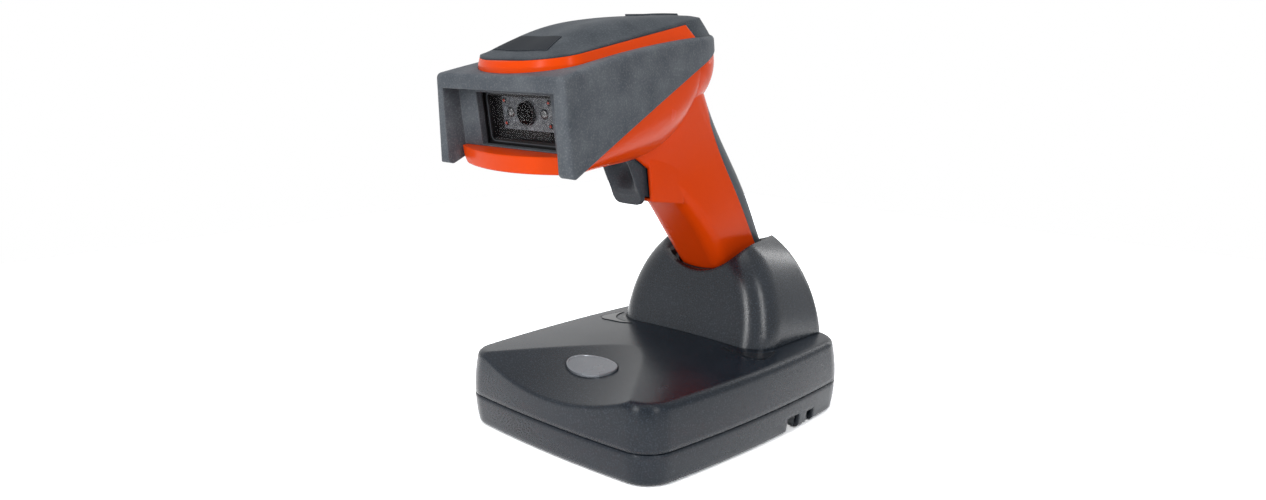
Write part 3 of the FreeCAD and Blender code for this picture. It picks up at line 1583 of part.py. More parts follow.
plate_back = "(engine_plate_front + engine_plate_depth)"
body_back = f"({plate_back} + engine_body_depth)"
light_x = "light_spacing"
front_holes = [
    ("barrel_diameter + 2 * fit_gap", "0", "barrel_height"),
    ("light_diameter", f"-{light_x}", "barrel_height"),
    ("light_diameter", light_x, "barrel_height"),
]
aimers = [
    (f"{side} * aimer_spread", f"barrel_height + {end} * aimer_rise")
    for side in PAIR for end in PAIR
]
front_holes += [("aimer_diameter", x, z) for x, z in aimers]
engine_plate = upright_plate(
    ("-engine_half_width", "engine_half_width"),
    ("engine_low", "engine_high"),
    "engine_plate_front",
    "engine_plate_depth",
    front_holes,
)
seat(engine_plate, "imager_plate", SCANNER)
engine_body = slab(
    ("-engine_half_width", "engine_half_width"),
    (plate_back, body_back),
    ("engine_low", "engine_high"),
)
barrel_room = peg("barrel_diameter + 2 * fit_gap", "0", (plate_back, f"{plate_back} + engine_body_depth / 2"),
                  "barrel_height", "y")
seat(cut(engine_body, barrel_room), "imager_body", SCANNER)
barrel_front = "(engine_plate_front - barrel_stand)"
barrel_end = f"({plate_back} + engine_body_depth / 2)"
seat(tube("barrel_diameter", "barrel_bore", "0", (barrel_front, barrel_end), "barrel_height", "y"),
     "lens_barrel", SCANNER)
eye_front = f"({barrel_front} + barrel_stand / 2)"
eye = peg("barrel_bore", "0", (eye_front, f"{eye_front} + eye_depth"), "barrel_height", "y")
seat(eye, "lens_glass", SCANNER)
lights = [
    peg("light_diameter - 2 * fit_gap", f"{side} * light_spacing",
        ("engine_plate_front - light_stand", plate_back), "barrel_height", "y")
    for side in PAIR
]
seat(grouped(*lights), "illumination_leds", SCANNER)
aimer_lights = [
    peg("aimer_diameter - fit_gap", x, ("engine_plate_front", plate_back), z, "y")
    for x, z in aimers
]
seat(grouped(*aimer_lights), "aimer_leds", SCANNER)
engine_board = upright_plate(
    ("-engine_half_width", "engine_half_width"),
    ("engine_low", "engine_high"),
    body_back,
    "engine_board_depth",
)
seat(engine_board, "imager_board", SCANNER)

# ---------------------------------------------------------------- chassis and boards in the head

POSTS = [(side * size.post_spread, back) for side in (-1, 1) for back in (size.post_front, size.post_rear)]


def chassis():
    half = size.chassis_half_width
    top = size.chassis_low + size.chassis_thickness
    deck = box(-half, half, size.chassis_front, size.chassis_rear, size.chassis_low, top)
    half = size.pedestal_half_width
    rear = size.engine_plate_front + size.engine_plate_depth + size.engine_body_depth
    frame = deck.fuse(box(-half, half, size.chassis_front, rear, top, size.engine_low))
    for side in (-1, 1):
        x = side * (size.pedestal_half_width + size.chassis_half_width) / 2
        rail = box(x - size.chassis_thickness / 2, x + size.chassis_thickness / 2, size.chassis_front,
                   size.chassis_rear, DEEP, size.chassis_low)
        frame = frame.fuse(rail)
    for x, y in POSTS:
        frame = frame.fuse(rod(size.post_diameter, top, size.board_low, x, y))
        frame = frame.cut(rod(size.screw_bore, size.chassis_low, size.board_low, x, y))
    return frame.common(belly(size.shell_wall + size.parting_gap))


freeform("chassis", SCANNER, chassis())
post_places = [(f"{side} * post_spread", back) for side in PAIR for back in ("post_front", "post_rear")]
main_top = "(board_low + board_thickness)"
main_board = plate(
    ("-board_half_width", "board_half_width"),
    ("board_front", "board_rear"),
    ("board_low", main_top),
    [("screw_hole", x, y) for x, y in post_places],
)
seat(main_board, "main_board", SCANNER)
stud_low = "(chassis_low + chassis_thickness)"
studs = [peg("screw_shank", x, y, (stud_low, f"{main_top} + screw_length")) for x, y in post_places]
seat(grouped(*studs), "board_studs", SCANNER)
head_radio = slab(
    ("-radio_half_width", "radio_half_width"),
    ("radio_front", "radio_back"),
    (main_top, f"{main_top} + radio_thickness"),
)
seat(head_radio, "radio_module", SCANNER)
beeper = peg("beeper_diameter", "0", "beeper_back", (main_top, f"{main_top} + beeper_height"))
beeper_middle = f"{main_top} + beeper_height / 2"
beeper_hole = peg("jack_pin", "0", "beeper_back", (beeper_middle, f"{main_top} + beeper_height"))
seat(cut(beeper, beeper_hole), "beeper", SCANNER)
pipe_back = "(lens_front + lens_back) / 2"
head_led = slab(
    ("-led_half", "led_half"),
    (f"{pipe_back} - led_half", f"{pipe_back} + led_half"),
    (main_top, f"{main_top} + led_height"),
)
seat(head_led, "status_led", SCANNER)
housing_screws = [
    screw(f"{side} * housing_screw_spread", "housing_screw_back", "housing_screw_seat", True, "2 * screw_length")
    for side in PAIR
]
seat(grouped(*housing_screws), "housing_screws", SCANNER)

# ---------------------------------------------------------------- trigger


def trigger():
    toe = size.trigger_toe
    top = size.trigger_top
    waist = (toe + 2 * top) / 3
    knee = (2 * toe + top) / 3
    lift = size.slot_floor + size.sole_gap
    sole_front = ledge(size.toe_back) + lift
    sole_rear = ledge(size.trigger_rear) + lift
    outline = [
        arc((0, size.trigger_brow, top), (0, size.trigger_waist, waist), (0, size.trigger_lip, knee)),
        line((0, size.trigger_lip, knee), (0, size.toe_front, toe)),
        line((0, size.toe_front, toe), (0, size.toe_back, toe)),
        line((0, size.toe_back, toe), (0, size.toe_back, sole_front)),
        line((0, size.toe_back, sole_front), (0, size.trigger_rear, sole_rear)),
        line((0, size.trigger_rear, sole_rear), (0, size.trigger_rear, top)),
        line((0, size.trigger_rear, top), (0, size.trigger_brow, top)),
    ]
    face = Part.Face(Part.Wire(outline))
    half = size.trigger_half_width
    face.translate(Vector(-half, 0, 0))
    lever = face.extrude(Vector(2 * half, 0, 0))
    flanks = [edge for edge in lever.Edges if edge.BoundBox.XLength < 0.01]
    curved = [edge for edge in flanks if edge.BoundBox.YMax < size.trigger_lip + 0.1]
    lever = lever.makeFillet(size.trigger_round, curved)
    scoop = face.extrude(Vector(2 * size.scoop_half_width, 0, 0))
    scoop.translate(Vector(half - size.scoop_half_width, size.scoop_depth, 0))
    rim = box(-size.scoop_half_width, size.scoop_half_width, 2 * size.trigger_brow, size.toe_back,
              knee, top - 2 * size.scoop_depth)
    lever = lever.cut(rim.cut(scoop))
    wall = size.shell_wall
    room = box(-half + wall, half - wall, size.toe_back + wall, size.trigger_rear - wall,
               sole_front + wall, size.pin_height - size.pin_diameter)
    lever = lever.cut(room)
    bore = crossways(size.pin_diameter + 2 * size.pin_fit, size.pin_length, size.pin_back, size.pin_height)
    return lever.cut(bore)


freeform("trigger", SCANNER, trigger())
half_pin = "(pin_length / 2)"
seat(peg("pin_diameter", (f"-{half_pin}", half_pin), "pin_back", "pin_height", "x"), "trigger_pin", SCANNER)
spring_span = ("trigger_rear + spring_gap", "slot_rear")
seat(tube("spring_diameter", "spring_bore", "0", spring_span, "spring_height", "y"), "trigger_spring", SCANNER)
switch_body = slab(
    ("-switch_half_width", "switch_half_width"),
    ("switch_front", "slot_rear"),
    ("switch_low", "switch_high"),
)
plunger_front = "(trigger_rear + plunger_gap)"
switch_bore = peg("plunger_diameter + 2 * pin_fit", "0", ("switch_front", "slot_rear - plunger_gap"),
                  "plunger_height", "y")
seat(cut(switch_body, switch_bore), "trigger_switch", SCANNER)
plunger_rear = f"{plunger_front} + plunger_length"
plunger = peg("plunger_diameter", "0", (plunger_front, plunger_rear), "plunger_height", "y")
seat(plunger, "switch_plunger", SCANNER)

# ---------------------------------------------------------------- inside the handle and its end cap

shell_end = "(handle_length - cap_thickness - gasket_thickness)"
plug_end = f"-({shell_end} - plug_depth)"
battery = plate(
    ("-battery_half_width", "battery_half_width"),
    ("battery_front", "battery_back"),
    (plug_end, "-battery_top"),
)
softened(battery.Tip, "battery_round", upright)
seat(battery, "battery_pack", HANDLE)
carrier = plate(
    ("-carrier_half_width", "carrier_half_width"),
    ("-carrier_depth", "carrier_depth"),
    ("-(carrier_drop + carrier_thickness)", "-carrier_drop"),
)
seat(carrier, "battery_carrier", HANDLE)
fingers = [
    slab(
        (f"{side} * finger_spread - finger_width / 2", f"{side} * finger_spread + finger_width / 2"),
        ("-finger_width", "finger_width"),
        ("-battery_top", "-(carrier_drop + carrier_thickness)"),
    )
    for side in PAIR
]
seat(grouped(*fingers), "battery_contacts", HANDLE)


def heel_disc(inset, low_drop, high_drop):
    """Slice of the handle's own outline at its heel, as a flat disc."""
    return Part.Face(heel_outline(low_drop, inset)).extrude(Vector(0, 0, low_drop - high_drop))


def end_cap():
    cap_top = size.handle_length - size.cap_thickness
    cap = heel_disc(0.0, size.handle_length, cap_top)
    plug_top = SHELL_END - size.plug_depth
    cap = cap.fuse(heel_disc(size.shell_wall + size.plug_gap, cap_top, plug_top))
    half = size.pad_half_width + size.fit_gap
    deep = size.pad_half_depth + size.fit_gap
    pads = box(-half, half, -deep, deep, -size.handle_length, size.pad_depth - size.handle_length)
    return cap.cut(pads)


def cap_gasket():
    ring = heel_disc(0.0, size.handle_length - size.cap_thickness, SHELL_END)
    return ring.cut(heel_disc(size.shell_wall, size.handle_length - size.cap_thickness, SHELL_END))


freeform("end_cap", HANDLE, end_cap())
freeform("cap_gasket", HANDLE, cap_gasket())
pads = [
    slab(
        (f"{x} - contact_pitch / 2 + fit_gap", f"{x} + contact_pitch / 2 - fit_gap"),
        ("-pad_half_depth", "pad_half_depth"),
        ("-handle_length", "pad_depth - handle_length"),
    )
    for x in places
]
seat(grouped(*pads), "charge_pads", HANDLE)


# ---------------------------------------------------------------- check and export

doc.recompute()
for item in doc.Objects:
    if {"Invalid", "Error"} & set(item.State):
        raise RuntimeError(f"{item.Label} failed: {item.State}")
for piece in NODES:
    if piece.Shape.isNull() or not piece.Shape.isValid() or not piece.Shape.Solids:
        raise RuntimeError(f"{piece.Label} has no sound solid")
os.makedirs("parts", exist_ok=True)
for piece in NODES:
    piece.Shape.exportStep(f"parts/{piece.Label}.step")
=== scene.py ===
import bmesh
import bpy
import math
from mathutils import Matrix, Vector
from mathutils.bvhtree import BVHTree


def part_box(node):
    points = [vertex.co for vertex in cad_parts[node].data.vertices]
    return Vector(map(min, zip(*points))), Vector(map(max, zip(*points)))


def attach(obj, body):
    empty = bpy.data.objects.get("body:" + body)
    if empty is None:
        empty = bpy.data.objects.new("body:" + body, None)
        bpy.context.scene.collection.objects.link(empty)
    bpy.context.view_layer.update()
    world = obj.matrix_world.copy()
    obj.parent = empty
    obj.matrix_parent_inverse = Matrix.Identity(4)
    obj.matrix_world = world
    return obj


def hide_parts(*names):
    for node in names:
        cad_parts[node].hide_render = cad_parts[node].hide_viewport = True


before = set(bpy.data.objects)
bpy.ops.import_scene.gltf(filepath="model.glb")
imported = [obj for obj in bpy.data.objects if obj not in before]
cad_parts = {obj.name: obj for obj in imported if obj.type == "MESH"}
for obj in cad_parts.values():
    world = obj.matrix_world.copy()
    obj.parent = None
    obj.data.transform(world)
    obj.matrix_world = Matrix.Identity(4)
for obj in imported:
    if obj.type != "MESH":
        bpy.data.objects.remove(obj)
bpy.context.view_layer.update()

# ------------------------------------------------------------------ the studio
# The scanner stands in its base on a plain white floor, in a plain white room.
# One camera looks down a little at the base's front corner, on the +X side of the nose.
# A wide soft box hangs overhead, and three narrow ones stand round it to edge the curved walls.

camera_turn = math.radians(43.846)
camera_drop = math.radians(11.815)
camera_reach = 0.5
camera_aim = Vector((-0.0201, 0.0144, 0.0796))
sight = Vector((
    -math.sin(camera_turn) * math.cos(camera_drop),
    math.cos(camera_turn) * math.cos(camera_drop),
    -math.sin(camera_drop),
))
camera_data = bpy.data.cameras.new("front_camera")
camera_data.sensor_fit = "HORIZONTAL"
camera_data.sensor_width = 36.0
camera_data.lens = 28.436
camera = bpy.data.objects.new("front_camera", camera_data)
camera.location = camera_aim - camera_reach * sight
camera.rotation_euler = (math.radians(90) - camera_drop, 0.0, camera_turn)
bpy.context.scene.collection.objects.link(camera)
bpy.context.scene.camera = camera
bpy.context.scene.view_settings.view_transform = "Standard"


def soft_box(name, place, target, width, height, power):
    """Rectangular area light facing a point."""
    data = bpy.data.lights.new(name, "AREA")
    data.shape = "RECTANGLE"
    data.size = width
    data.size_y = height
    data.energy = power
    box = bpy.data.objects.new(name, data)
    box.location = place
    box.rotation_euler = (Vector(target) - Vector(place)).to_track_quat("-Z", "Y").to_euler()
    bpy.context.scene.collection.objects.link(box)


def seen_or_mirrored(tree):
    """Socket that is 1 for what the camera sees, straight, in a reflection or through glass."""
    ray = tree.nodes.new("ShaderNodeLightPath")
    seen = tree.nodes.new("ShaderNodeMath")
    seen.operation = "MAXIMUM"
    tree.links.new(ray.outputs["Is Camera Ray"], seen.inputs[0])
    tree.links.new(ray.outputs["Is Glossy Ray"], seen.inputs[1])
    through = tree.nodes.new("ShaderNodeMath")
    through.operation = "MAXIMUM"
    tree.links.new(seen.outputs[0], through.inputs[0])
    tree.links.new(ray.outputs["Is Transmission Ray"], through.inputs[1])
    return through.outputs[0]


soft_box(
    "overhead_panel", place=(-0.1, -0.2, 1.25), target=(0.0, 0.0, 0.08), width=1.0, height=1.0, power=4.4
)
soft_box(
    "front_strip", place=(0.08, -0.95, 0.5), target=(0.0, 0.0, 0.08), width=0.05, height=0.8, power=5.4
)
soft_box(
    "right_strip", place=(0.86, -0.28, 0.5), target=(0.0, 0.03, 0.08), width=0.03, height=0.7, power=3.2
)
soft_box(
    "rear_strip", place=(0.1, 0.95, 0.5), target=(0.0, 0.05, 0.12), width=0.12, height=0.7, power=1.6
)

world = bpy.data.worlds.new("white_room")
bpy.context.scene.world = world
world.use_nodes = True
room = world.node_tree
room.nodes.clear()
room_light = room.nodes.new("ShaderNodeBackground")
room_light.inputs["Color"].default_value = (0.93, 0.96, 1.0, 1.0)
room_light.inputs["Strength"].default_value = 0.22
room_white = room.nodes.new("ShaderNodeBackground")
room_white.inputs["Color"].default_value = (1.0, 1.0, 1.0, 1.0)
room_mix = room.nodes.new("ShaderNodeMixShader")
room_out = room.nodes.new("ShaderNodeOutputWorld")
room.links.new(seen_or_mirrored(room), room_mix.inputs["Fac"])
room.links.new(room_light.outputs[0], room_mix.inputs[1])
room.links.new(room_white.outputs[0], room_mix.inputs[2])
room.links.new(room_mix.outputs[0], room_out.inputs["Surface"])

floor_reach = 0.62
floor_mesh = bmesh.new()
bmesh.ops.create_grid(floor_mesh, x_segments=2, y_segments=2, size=floor_reach)
floor_data = bpy.data.meshes.new("studio_floor")
floor_mesh.to_mesh(floor_data)
floor_mesh.free()
studio_floor = bpy.data.objects.new("studio_floor", floor_data)
bpy.context.scene.collection.objects.link(studio_floor)
paper = bpy.data.materials.new("white_paper")
paper.use_nodes = True
paper_tree = paper.node_tree
paper_shader = paper_tree.nodes["Principled BSDF"]
paper_shader.inputs["Roughness"].default_value = 0.9
paper_shader.inputs["Specular IOR Level"].default_value = 0.1
paper_tone = paper_tree.nodes.new("ShaderNodeMix")
paper_tone.data_type = "RGBA"
paper_tone.inputs["A"].default_value = (0.8, 0.8, 0.8, 1.0)
paper_tone.inputs["B"].default_value = (3.0, 3.0, 3.0, 1.0)
paper_tree.links.new(seen_or_mirrored(paper_tree), paper_tone.inputs["Factor"])
paper_tree.links.new(paper_tone.outputs["Result"], paper_shader.inputs["Base Color"])
floor_data.materials.append(paper)

# ------------------------------------------------------- base tray and base cover
# The charging base is two injection moulded ABS shells, screwed together from below.
# Their finish is a fine spark-eroded grain in a dark blue-grey, satin rather than glossy.


def finish(name, deep, pale, roughness, grain, relief, speckle=0.0, mottle=0.3, coat=0.0, metal=0.0,
           gloss=0.5, edge_wear_and_highlight=0.0, soften=0.0, patch=38.0):
    """
    Moulded, painted or plated finish: a deep shade with patches, flecks and pale edges of a pale one.
    The pale edges are partly edge wear and partly a painted highlight along every edge.
    Mottle, speckle and the edge amount are how far each of those three goes towards the pale shade.
    Patch and grain are the scales of the patches and of the fine grain, relief is the grain's height,
    and soften is the radius to which sharp edges look rounded.
    """
    sheen_spread = 0.06
    edge_mark_reach = 0.0007
    material = bpy.data.materials.new(name)
    material.use_nodes = True
    nodes = material.node_tree.nodes
    links = material.node_tree.links
    shader = nodes["Principled BSDF"]
    shader.inputs["Metallic"].default_value = metal
    shader.inputs["Coat Weight"].default_value = coat
    shader.inputs["Coat Roughness"].default_value = 0.12
    shader.inputs["Specular IOR Level"].default_value = gloss
    place = nodes.new("ShaderNodeTexCoord")
    patches = nodes.new("ShaderNodeTexNoise")
    patches.inputs["Scale"].default_value = patch
    patches.inputs["Detail"].default_value = 4.0
    links.new(place.outputs["Object"], patches.inputs["Vector"])
    grains = nodes.new("ShaderNodeTexNoise")
    grains.inputs["Scale"].default_value = grain
    grains.inputs["Detail"].default_value = 2.0
    links.new(place.outputs["Object"], grains.inputs["Vector"])
    mottled = nodes.new("ShaderNodeMapRange")
    mottled.inputs["From Min"].default_value = 0.3
    mottled.inputs["From Max"].default_value = 0.7
    mottled.inputs["To Max"].default_value = mottle
    links.new(patches.outputs["Fac"], mottled.inputs["Value"])
    flecked = nodes.new("ShaderNodeMapRange")
    flecked.inputs["From Min"].default_value = 0.5
    flecked.inputs["From Max"].default_value = 0.72
    flecked.inputs["To Max"].default_value = speckle
    links.new(grains.outputs["Fac"], flecked.inputs["Value"])
    amount = nodes.new("ShaderNodeMath")
    amount.use_clamp = True
    links.new(mottled.outputs["Result"], amount.inputs[0])
    links.new(flecked.outputs["Result"], amount.inputs[1])
    # Edges are paled through the Bevel node's mask: partly edge wear, partly a painted highlight along every
    # edge.
    if edge_wear_and_highlight:
        soft_edge = nodes.new("ShaderNodeBevel")
        soft_edge.samples = 4
        soft_edge.inputs["Radius"].default_value = edge_mark_reach
        true_face = nodes.new("ShaderNodeNewGeometry")
        turned = nodes.new("ShaderNodeVectorMath")
        turned.operation = "DOT_PRODUCT"
        links.new(soft_edge.outputs["Normal"], turned.inputs[0])
        links.new(true_face.outputs["Normal"], turned.inputs[1])
        paled_edges = nodes.new("ShaderNodeMapRange")
        paled_edges.inputs["From Min"].default_value = 0.995
        paled_edges.inputs["From Max"].default_value = 0.90
        paled_edges.inputs["To Max"].default_value = edge_wear_and_highlight
        links.new(turned.outputs["Value"], paled_edges.inputs["Value"])
        before_edges = amount
        amount = nodes.new("ShaderNodeMath")
        amount.use_clamp = True
        links.new(before_edges.outputs[0], amount.inputs[0])
        links.new(paled_edges.outputs["Result"], amount.inputs[1])
    colours = nodes.new("ShaderNodeMix")
    colours.data_type = "RGBA"
    colours.inputs["A"].default_value = (*deep, 1.0)
    colours.inputs["B"].default_value = (*pale, 1.0)
    links.new(amount.outputs[0], colours.inputs["Factor"])
    links.new(colours.outputs["Result"], shader.inputs["Base Color"])
    sheen = nodes.new("ShaderNodeMapRange")
    sheen.inputs["To Min"].default_value = max(0.0, roughness - sheen_spread)
    sheen.inputs["To Max"].default_value = min(1.0, roughness + sheen_spread)
    links.new(patches.outputs["Fac"], sheen.inputs["Value"])
    links.new(sheen.outputs["Result"], shader.inputs["Roughness"])
    bump = nodes.new("ShaderNodeBump")
    bump.inputs["Strength"].default_value = 1.0
    bump.inputs["Distance"].default_value = relief
    links.new(grains.outputs["Fac"], bump.inputs["Height"])
    if soften:
        rounded = nodes.new("ShaderNodeBevel")
        rounded.samples = 6
        rounded.inputs["Radius"].default_value = soften
        links.new(rounded.outputs["Normal"], bump.inputs["Normal"])
    links.new(bump.outputs["Normal"], shader.inputs["Normal"])
    return material


def dressed(material, *names):
    """Gives CAD nodes their finish."""
    for name in names:
        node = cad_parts[name]
        for place in node.material_slots:
            place.material = material


base_grain = finish(
    "base_grain", deep=(0.006, 0.010, 0.016), pale=(0.046, 0.061, 0.083), roughness=0.25,
    grain=1500.0, relief=0.00004, speckle=0.5, mottle=0.1, gloss=0.22, edge_wear_and_highlight=0.3, soften=0.003,
)
dressed(base_grain, "base_tray", "base_cover")

# ------------------------------------------------------------------- oval badge
# A blank satin plate glued in the dished front of the deck, so it is curved as the dish is.
# It is metallic painted plastic with a low rim round its edge, and has nothing printed on it.


def settled(shape, name, material, body, slot, *nodes):
    """A finished bmesh as a piece on its body, in place of the CAD nodes it stands for."""
    crease = math.radians(38)
    data = bpy.data.meshes.new(name)
    for face in shape.faces:
        face.smooth = True
    for edge in shape.edges:
        if len(edge.link_faces) == 2 and edge.calc_face_angle(0.0) > crease:
            edge.smooth = False
    shape.to_mesh(data)
    shape.free()
    data.materials.append(material)
    piece = bpy.data.objects.new(name, data)
    bpy.context.scene.collection.objects.link(piece)
    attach(piece, body)
    if nodes:
        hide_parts(*nodes)
    return piece


badge_satin = finish(
    "badge_satin", deep=(0.15, 0.165, 0.185), pale=(0.30, 0.315, 0.34), roughness=0.26,
    grain=3200.0, relief=0.00002, speckle=0.3, metal=0.4, edge_wear_and_highlight=0.6,
)
badge_low, badge_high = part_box("base_badge")
badge_middle = (badge_low + badge_high) / 2
badge_half_width = (badge_high.x - badge_low.x) / 2
badge_half_depth = (badge_high.y - badge_low.y) / 2
badge_thickness = 0.0012
badge_rim = (
    (0.0003, 0.00022),      # width and rise of the rim's outer slope
    (0.0006, 0.0),          # its flat top
    (0.0002, -0.00028),     # its inner wall
    (0.0012, 0.00006),      # and the plate swelling gently inside it, in two steps
    (0.0018, 0.00006),
)
badge = bmesh.new()
bmesh.ops.create_circle(badge, cap_ends=True, segments=72, radius=1.0)
bmesh.ops.scale(badge, vec=(badge_half_width, badge_half_depth, 1.0), verts=badge.verts)
underside = badge.faces[:]
raised = bmesh.ops.extrude_face_region(badge, geom=underside)
top = [item for item in raised["geom"] if isinstance(item, bmesh.types.BMFace)]
underside_verts = [vert for face in underside for vert in face.verts]
bmesh.ops.translate(badge, vec=(0, 0, -badge_thickness), verts=underside_verts)
for width, rise in badge_rim:
    bmesh.ops.inset_region(badge, faces=top, thickness=width, depth=rise)
bmesh.ops.recalc_face_normals(badge, faces=badge.faces)

# The flat plate is let down onto the CAD badge's curved top. Each point looks for its height
# a little inside its own place, so that the ones on the outline find the top as well.
badge_cast = bmesh.new()
badge_cast.from_mesh(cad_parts["base_badge"].data)
badge_seat = BVHTree.FromBMesh(badge_cast)
badge_cast.free()
cast_share = 0.95
cast_rise = 0.01
for vert in badge.verts:
    x = badge_middle.x + cast_share * vert.co.x
    y = badge_middle.y + cast_share * vert.co.y
    seat = badge_seat.ray_cast(Vector((x, y, badge_high.z + cast_rise)), Vector((0, 0, -1)))[0]
    vert.co = Vector((badge_middle.x + vert.co.x, badge_middle.y + vert.co.y, seat.z + vert.co.z))
settled(badge, "oval_badge", badge_satin, "base", "badge_plate", "base_badge")

# ---------------------------------------------------------------- status lenses
# Two smoked acrylic crescents pressed into the deck beside the dome's front corners, and a
# rectangular one in the ridge of the crown. A stem under each carries the light of a small
# lamp up from the board below.

smoked_acrylic = finish(
    "smoked_acrylic", deep=(0.012, 0.015, 0.019), pale=(0.022, 0.027, 0.033), roughness=0.14,
    grain=900.0, relief=0.00001, edge_wear_and_highlight=0.5,
)
dressed(smoked_acrylic, "status_lens_right", "status_lens_left", "scan_status_lens")

# ----------------------------------------------------- holster dome and its well
# The hood that holds the handle is one more ABS shell, a little glossier than the base and
# screwed to its cover from below. The handle drops through the hood's saddle into a dark
# moulded sleeve inside it.

dome_grain = finish(
    "dome_grain", deep=(0.006, 0.010, 0.016), pale=(0.046, 0.061, 0.083), roughness=0.24,
    grain=1500.0, relief=0.00003, speckle=0.5, mottle=0.1, gloss=0.4, edge_wear_and_highlight=0.3, soften=0.004,
)
dressed(dome_grain, "holster_dome")
well_black = finish(
    "well_black", deep=(0.012, 0.012, 0.014), pale=(0.02, 0.02, 0.023), roughness=0.6,
    grain=1800.0, relief=0.00004,
)
dressed(well_black, "holster_well")

# ------------------------------------------------------------------ rubber boot
# A soft grey elastomer boot, stretched over the shells of the head, stands forward as a hood
# at the nose. Its matt skin is finely grained and a little mottled from handling.

boot_skin = finish(
    "boot_skin", deep=(0.068, 0.078, 0.092), pale=(0.175, 0.190, 0.206), roughness=0.62,
    grain=1400.0, relief=0.00006, speckle=0.5, mottle=0.5, gloss=0.14, edge_wear_and_highlight=0.4, soften=0.001, patch=90.0,
)
dressed(boot_skin, "rubber_boot")

# ----------------------------------------------------- crown pad and crown badge
# The crown is the same elastomer in a darker grey, moulded over the top shell, with a short
# ridge at its tail. A blank black plate of thin plastic is glued in a pocket at its nose end.

crown_skin = finish(
    "crown_skin", deep=(0.042, 0.050, 0.060), pale=(0.105, 0.117, 0.130), roughness=0.6,
    grain=1400.0, relief=0.00006, speckle=0.5, mottle=0.5, gloss=0.12, edge_wear_and_highlight=0.4, soften=0.002, patch=90.0,
)
dressed(crown_skin, "crown_pad")
badge_black = finish(
    "badge_black", deep=(0.010, 0.012, 0.016), pale=(0.05, 0.058, 0.068), roughness=0.6,
    grain=1500.0, relief=0.00002, gloss=0.08, edge_wear_and_highlight=0.8,
)
dressed(badge_black, "crown_badge")

# --------------------------------------------------------------- orange housing
# Two shells moulded in bright orange polycarbonate make up the body of the scanner.
# The upper one is the band round the crown; the lower one is the chin, belly and handle.

orange_gloss = finish(
    "orange_gloss", deep=(0.84, 0.064, 0.002), pale=(0.92, 0.078, 0.003), roughness=0.25,
    grain=900.0, relief=0.00001, speckle=0.2, gloss=0.09, edge_wear_and_highlight=0.25, soften=0.001,
)
dressed(orange_gloss, "upper_housing", "lower_housing")

# ------------------------------------------------------- grip spine and end cap
# The back of the handle is a dark grey shell with a leather-fine grain, and its foot is a cap
# of the same plastic. The small plunger of the trigger's switch has that finish too.

grip_grain = finish(
    "grip_grain", deep=(0.040, 0.047, 0.056), pale=(0.085, 0.096, 0.108), roughness=0.5,
    grain=2200.0, relief=0.00005, speckle=0.35, gloss=0.3, edge_wear_and_highlight=0.35,
)
dressed(grip_grain, "grip_back_cover", "switch_plunger", "end_cap")

# ---------------------------------------------------------------------- trigger
# One grained grey moulding that turns on a steel pin across its slot.
# Its face is hollowed for the finger, and its toe and long edges are rounded.

trigger_grain = finish(
    "trigger_grain", deep=(0.020, 0.026, 0.034), pale=(0.060, 0.071, 0.085), roughness=0.46,
    grain=1500.0, relief=0.00005, speckle=0.45, gloss=0.2, edge_wear_and_highlight=0.2,
)
head_lean = math.radians(7.2)
pin_low, pin_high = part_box("trigger_pin")
trigger_place = Matrix.Translation((pin_low + pin_high) / 2) @ Matrix.Rotation(head_lean, 4, "X")
trigger_half = 0.009
trigger_toe = -0.0204
toe_round = 0.0050
edge_round = 0.0013
sharp = math.radians(50)
touching = 1e-6

# Side outline, as distances back from the pin and up from it, in the head's own lean.
trigger_side = (
    (0.0024, 0.0032), (-0.0193, 0.0032), (-0.0176, -0.0015), (-0.0163, -0.0058), (-0.0150, -0.0095),
    (-0.0137, -0.0130), (-0.0127, -0.0165), (-0.0121, -0.0206), (-0.0101, -0.0208), (-0.0098, -0.0166),
    (-0.0040, -0.0182), (0.0004, -0.0190), (0.0004, -0.0050), (0.0024, -0.0030),
)
trigger = bmesh.new()
cheek = trigger.faces.new([trigger.verts.new((-trigger_half, back, up)) for back, up in trigger_side])
far_cheek = bmesh.ops.extrude_face_region(trigger, geom=[cheek])
far_verts = [item for item in far_cheek["geom"] if isinstance(item, bmesh.types.BMVert)]
bmesh.ops.translate(trigger, vec=(2 * trigger_half, 0, 0), verts=far_verts)
bmesh.ops.recalc_face_normals(trigger, faces=trigger.faces)
toe_corners = [
    edge for edge in trigger.edges
    if abs(edge.verts[0].co.x - edge.verts[1].co.x) < touching
    and abs(abs(edge.verts[0].co.x) - trigger_half) < touching
    and max(vert.co.z for vert in edge.verts) < trigger_toe
]
bmesh.ops.bevel(
    trigger, geom=toe_corners, offset=toe_round, segments=4, profile=0.5, affect="EDGES", material=-1,
    clamp_overlap=True,
)
long_edges = [
    edge for edge in trigger.edges
    if edge.is_manifold and edge.calc_face_angle(0.0) > sharp
]
bmesh.ops.bevel(
    trigger, geom=long_edges, offset=edge_round, segments=2, profile=0.5, affect="EDGES", material=-1,
    clamp_overlap=True,
)

# The hollow has a flat margin, a short slope, and then a floor that runs deeper towards the top.
facing_front = -0.8
face_low = -0.0150
face_high = 0.0020
face_reach = 0.001
hollow_margin = 0.0014
hollow_slope = 0.0026
hollow_sink = 0.0006
hollow_depth = 0.0085
hollow_start = -0.0130
hollow_run = 0.0095
finger_face = [
    face for face in trigger.faces
    if face.normal.y < facing_front and abs(face.calc_center_median().x) < face_reach
    and face_low < face.calc_center_median().z < face_high
]
bmesh.ops.inset_region(trigger, faces=finger_face, thickness=hollow_margin, depth=0.0)
bmesh.ops.inset_region(trigger, faces=finger_face, thickness=hollow_slope, depth=-hollow_sink)
for vert in {vert for face in finger_face for vert in face.verts}:
    vert.co.y += hollow_depth * max(0.0, min(1.0, (vert.co.z - hollow_start) / hollow_run))
bmesh.ops.transform(trigger, matrix=trigger_place, verts=trigger.verts)
bmesh.ops.recalc_face_normals(trigger, faces=trigger.faces)
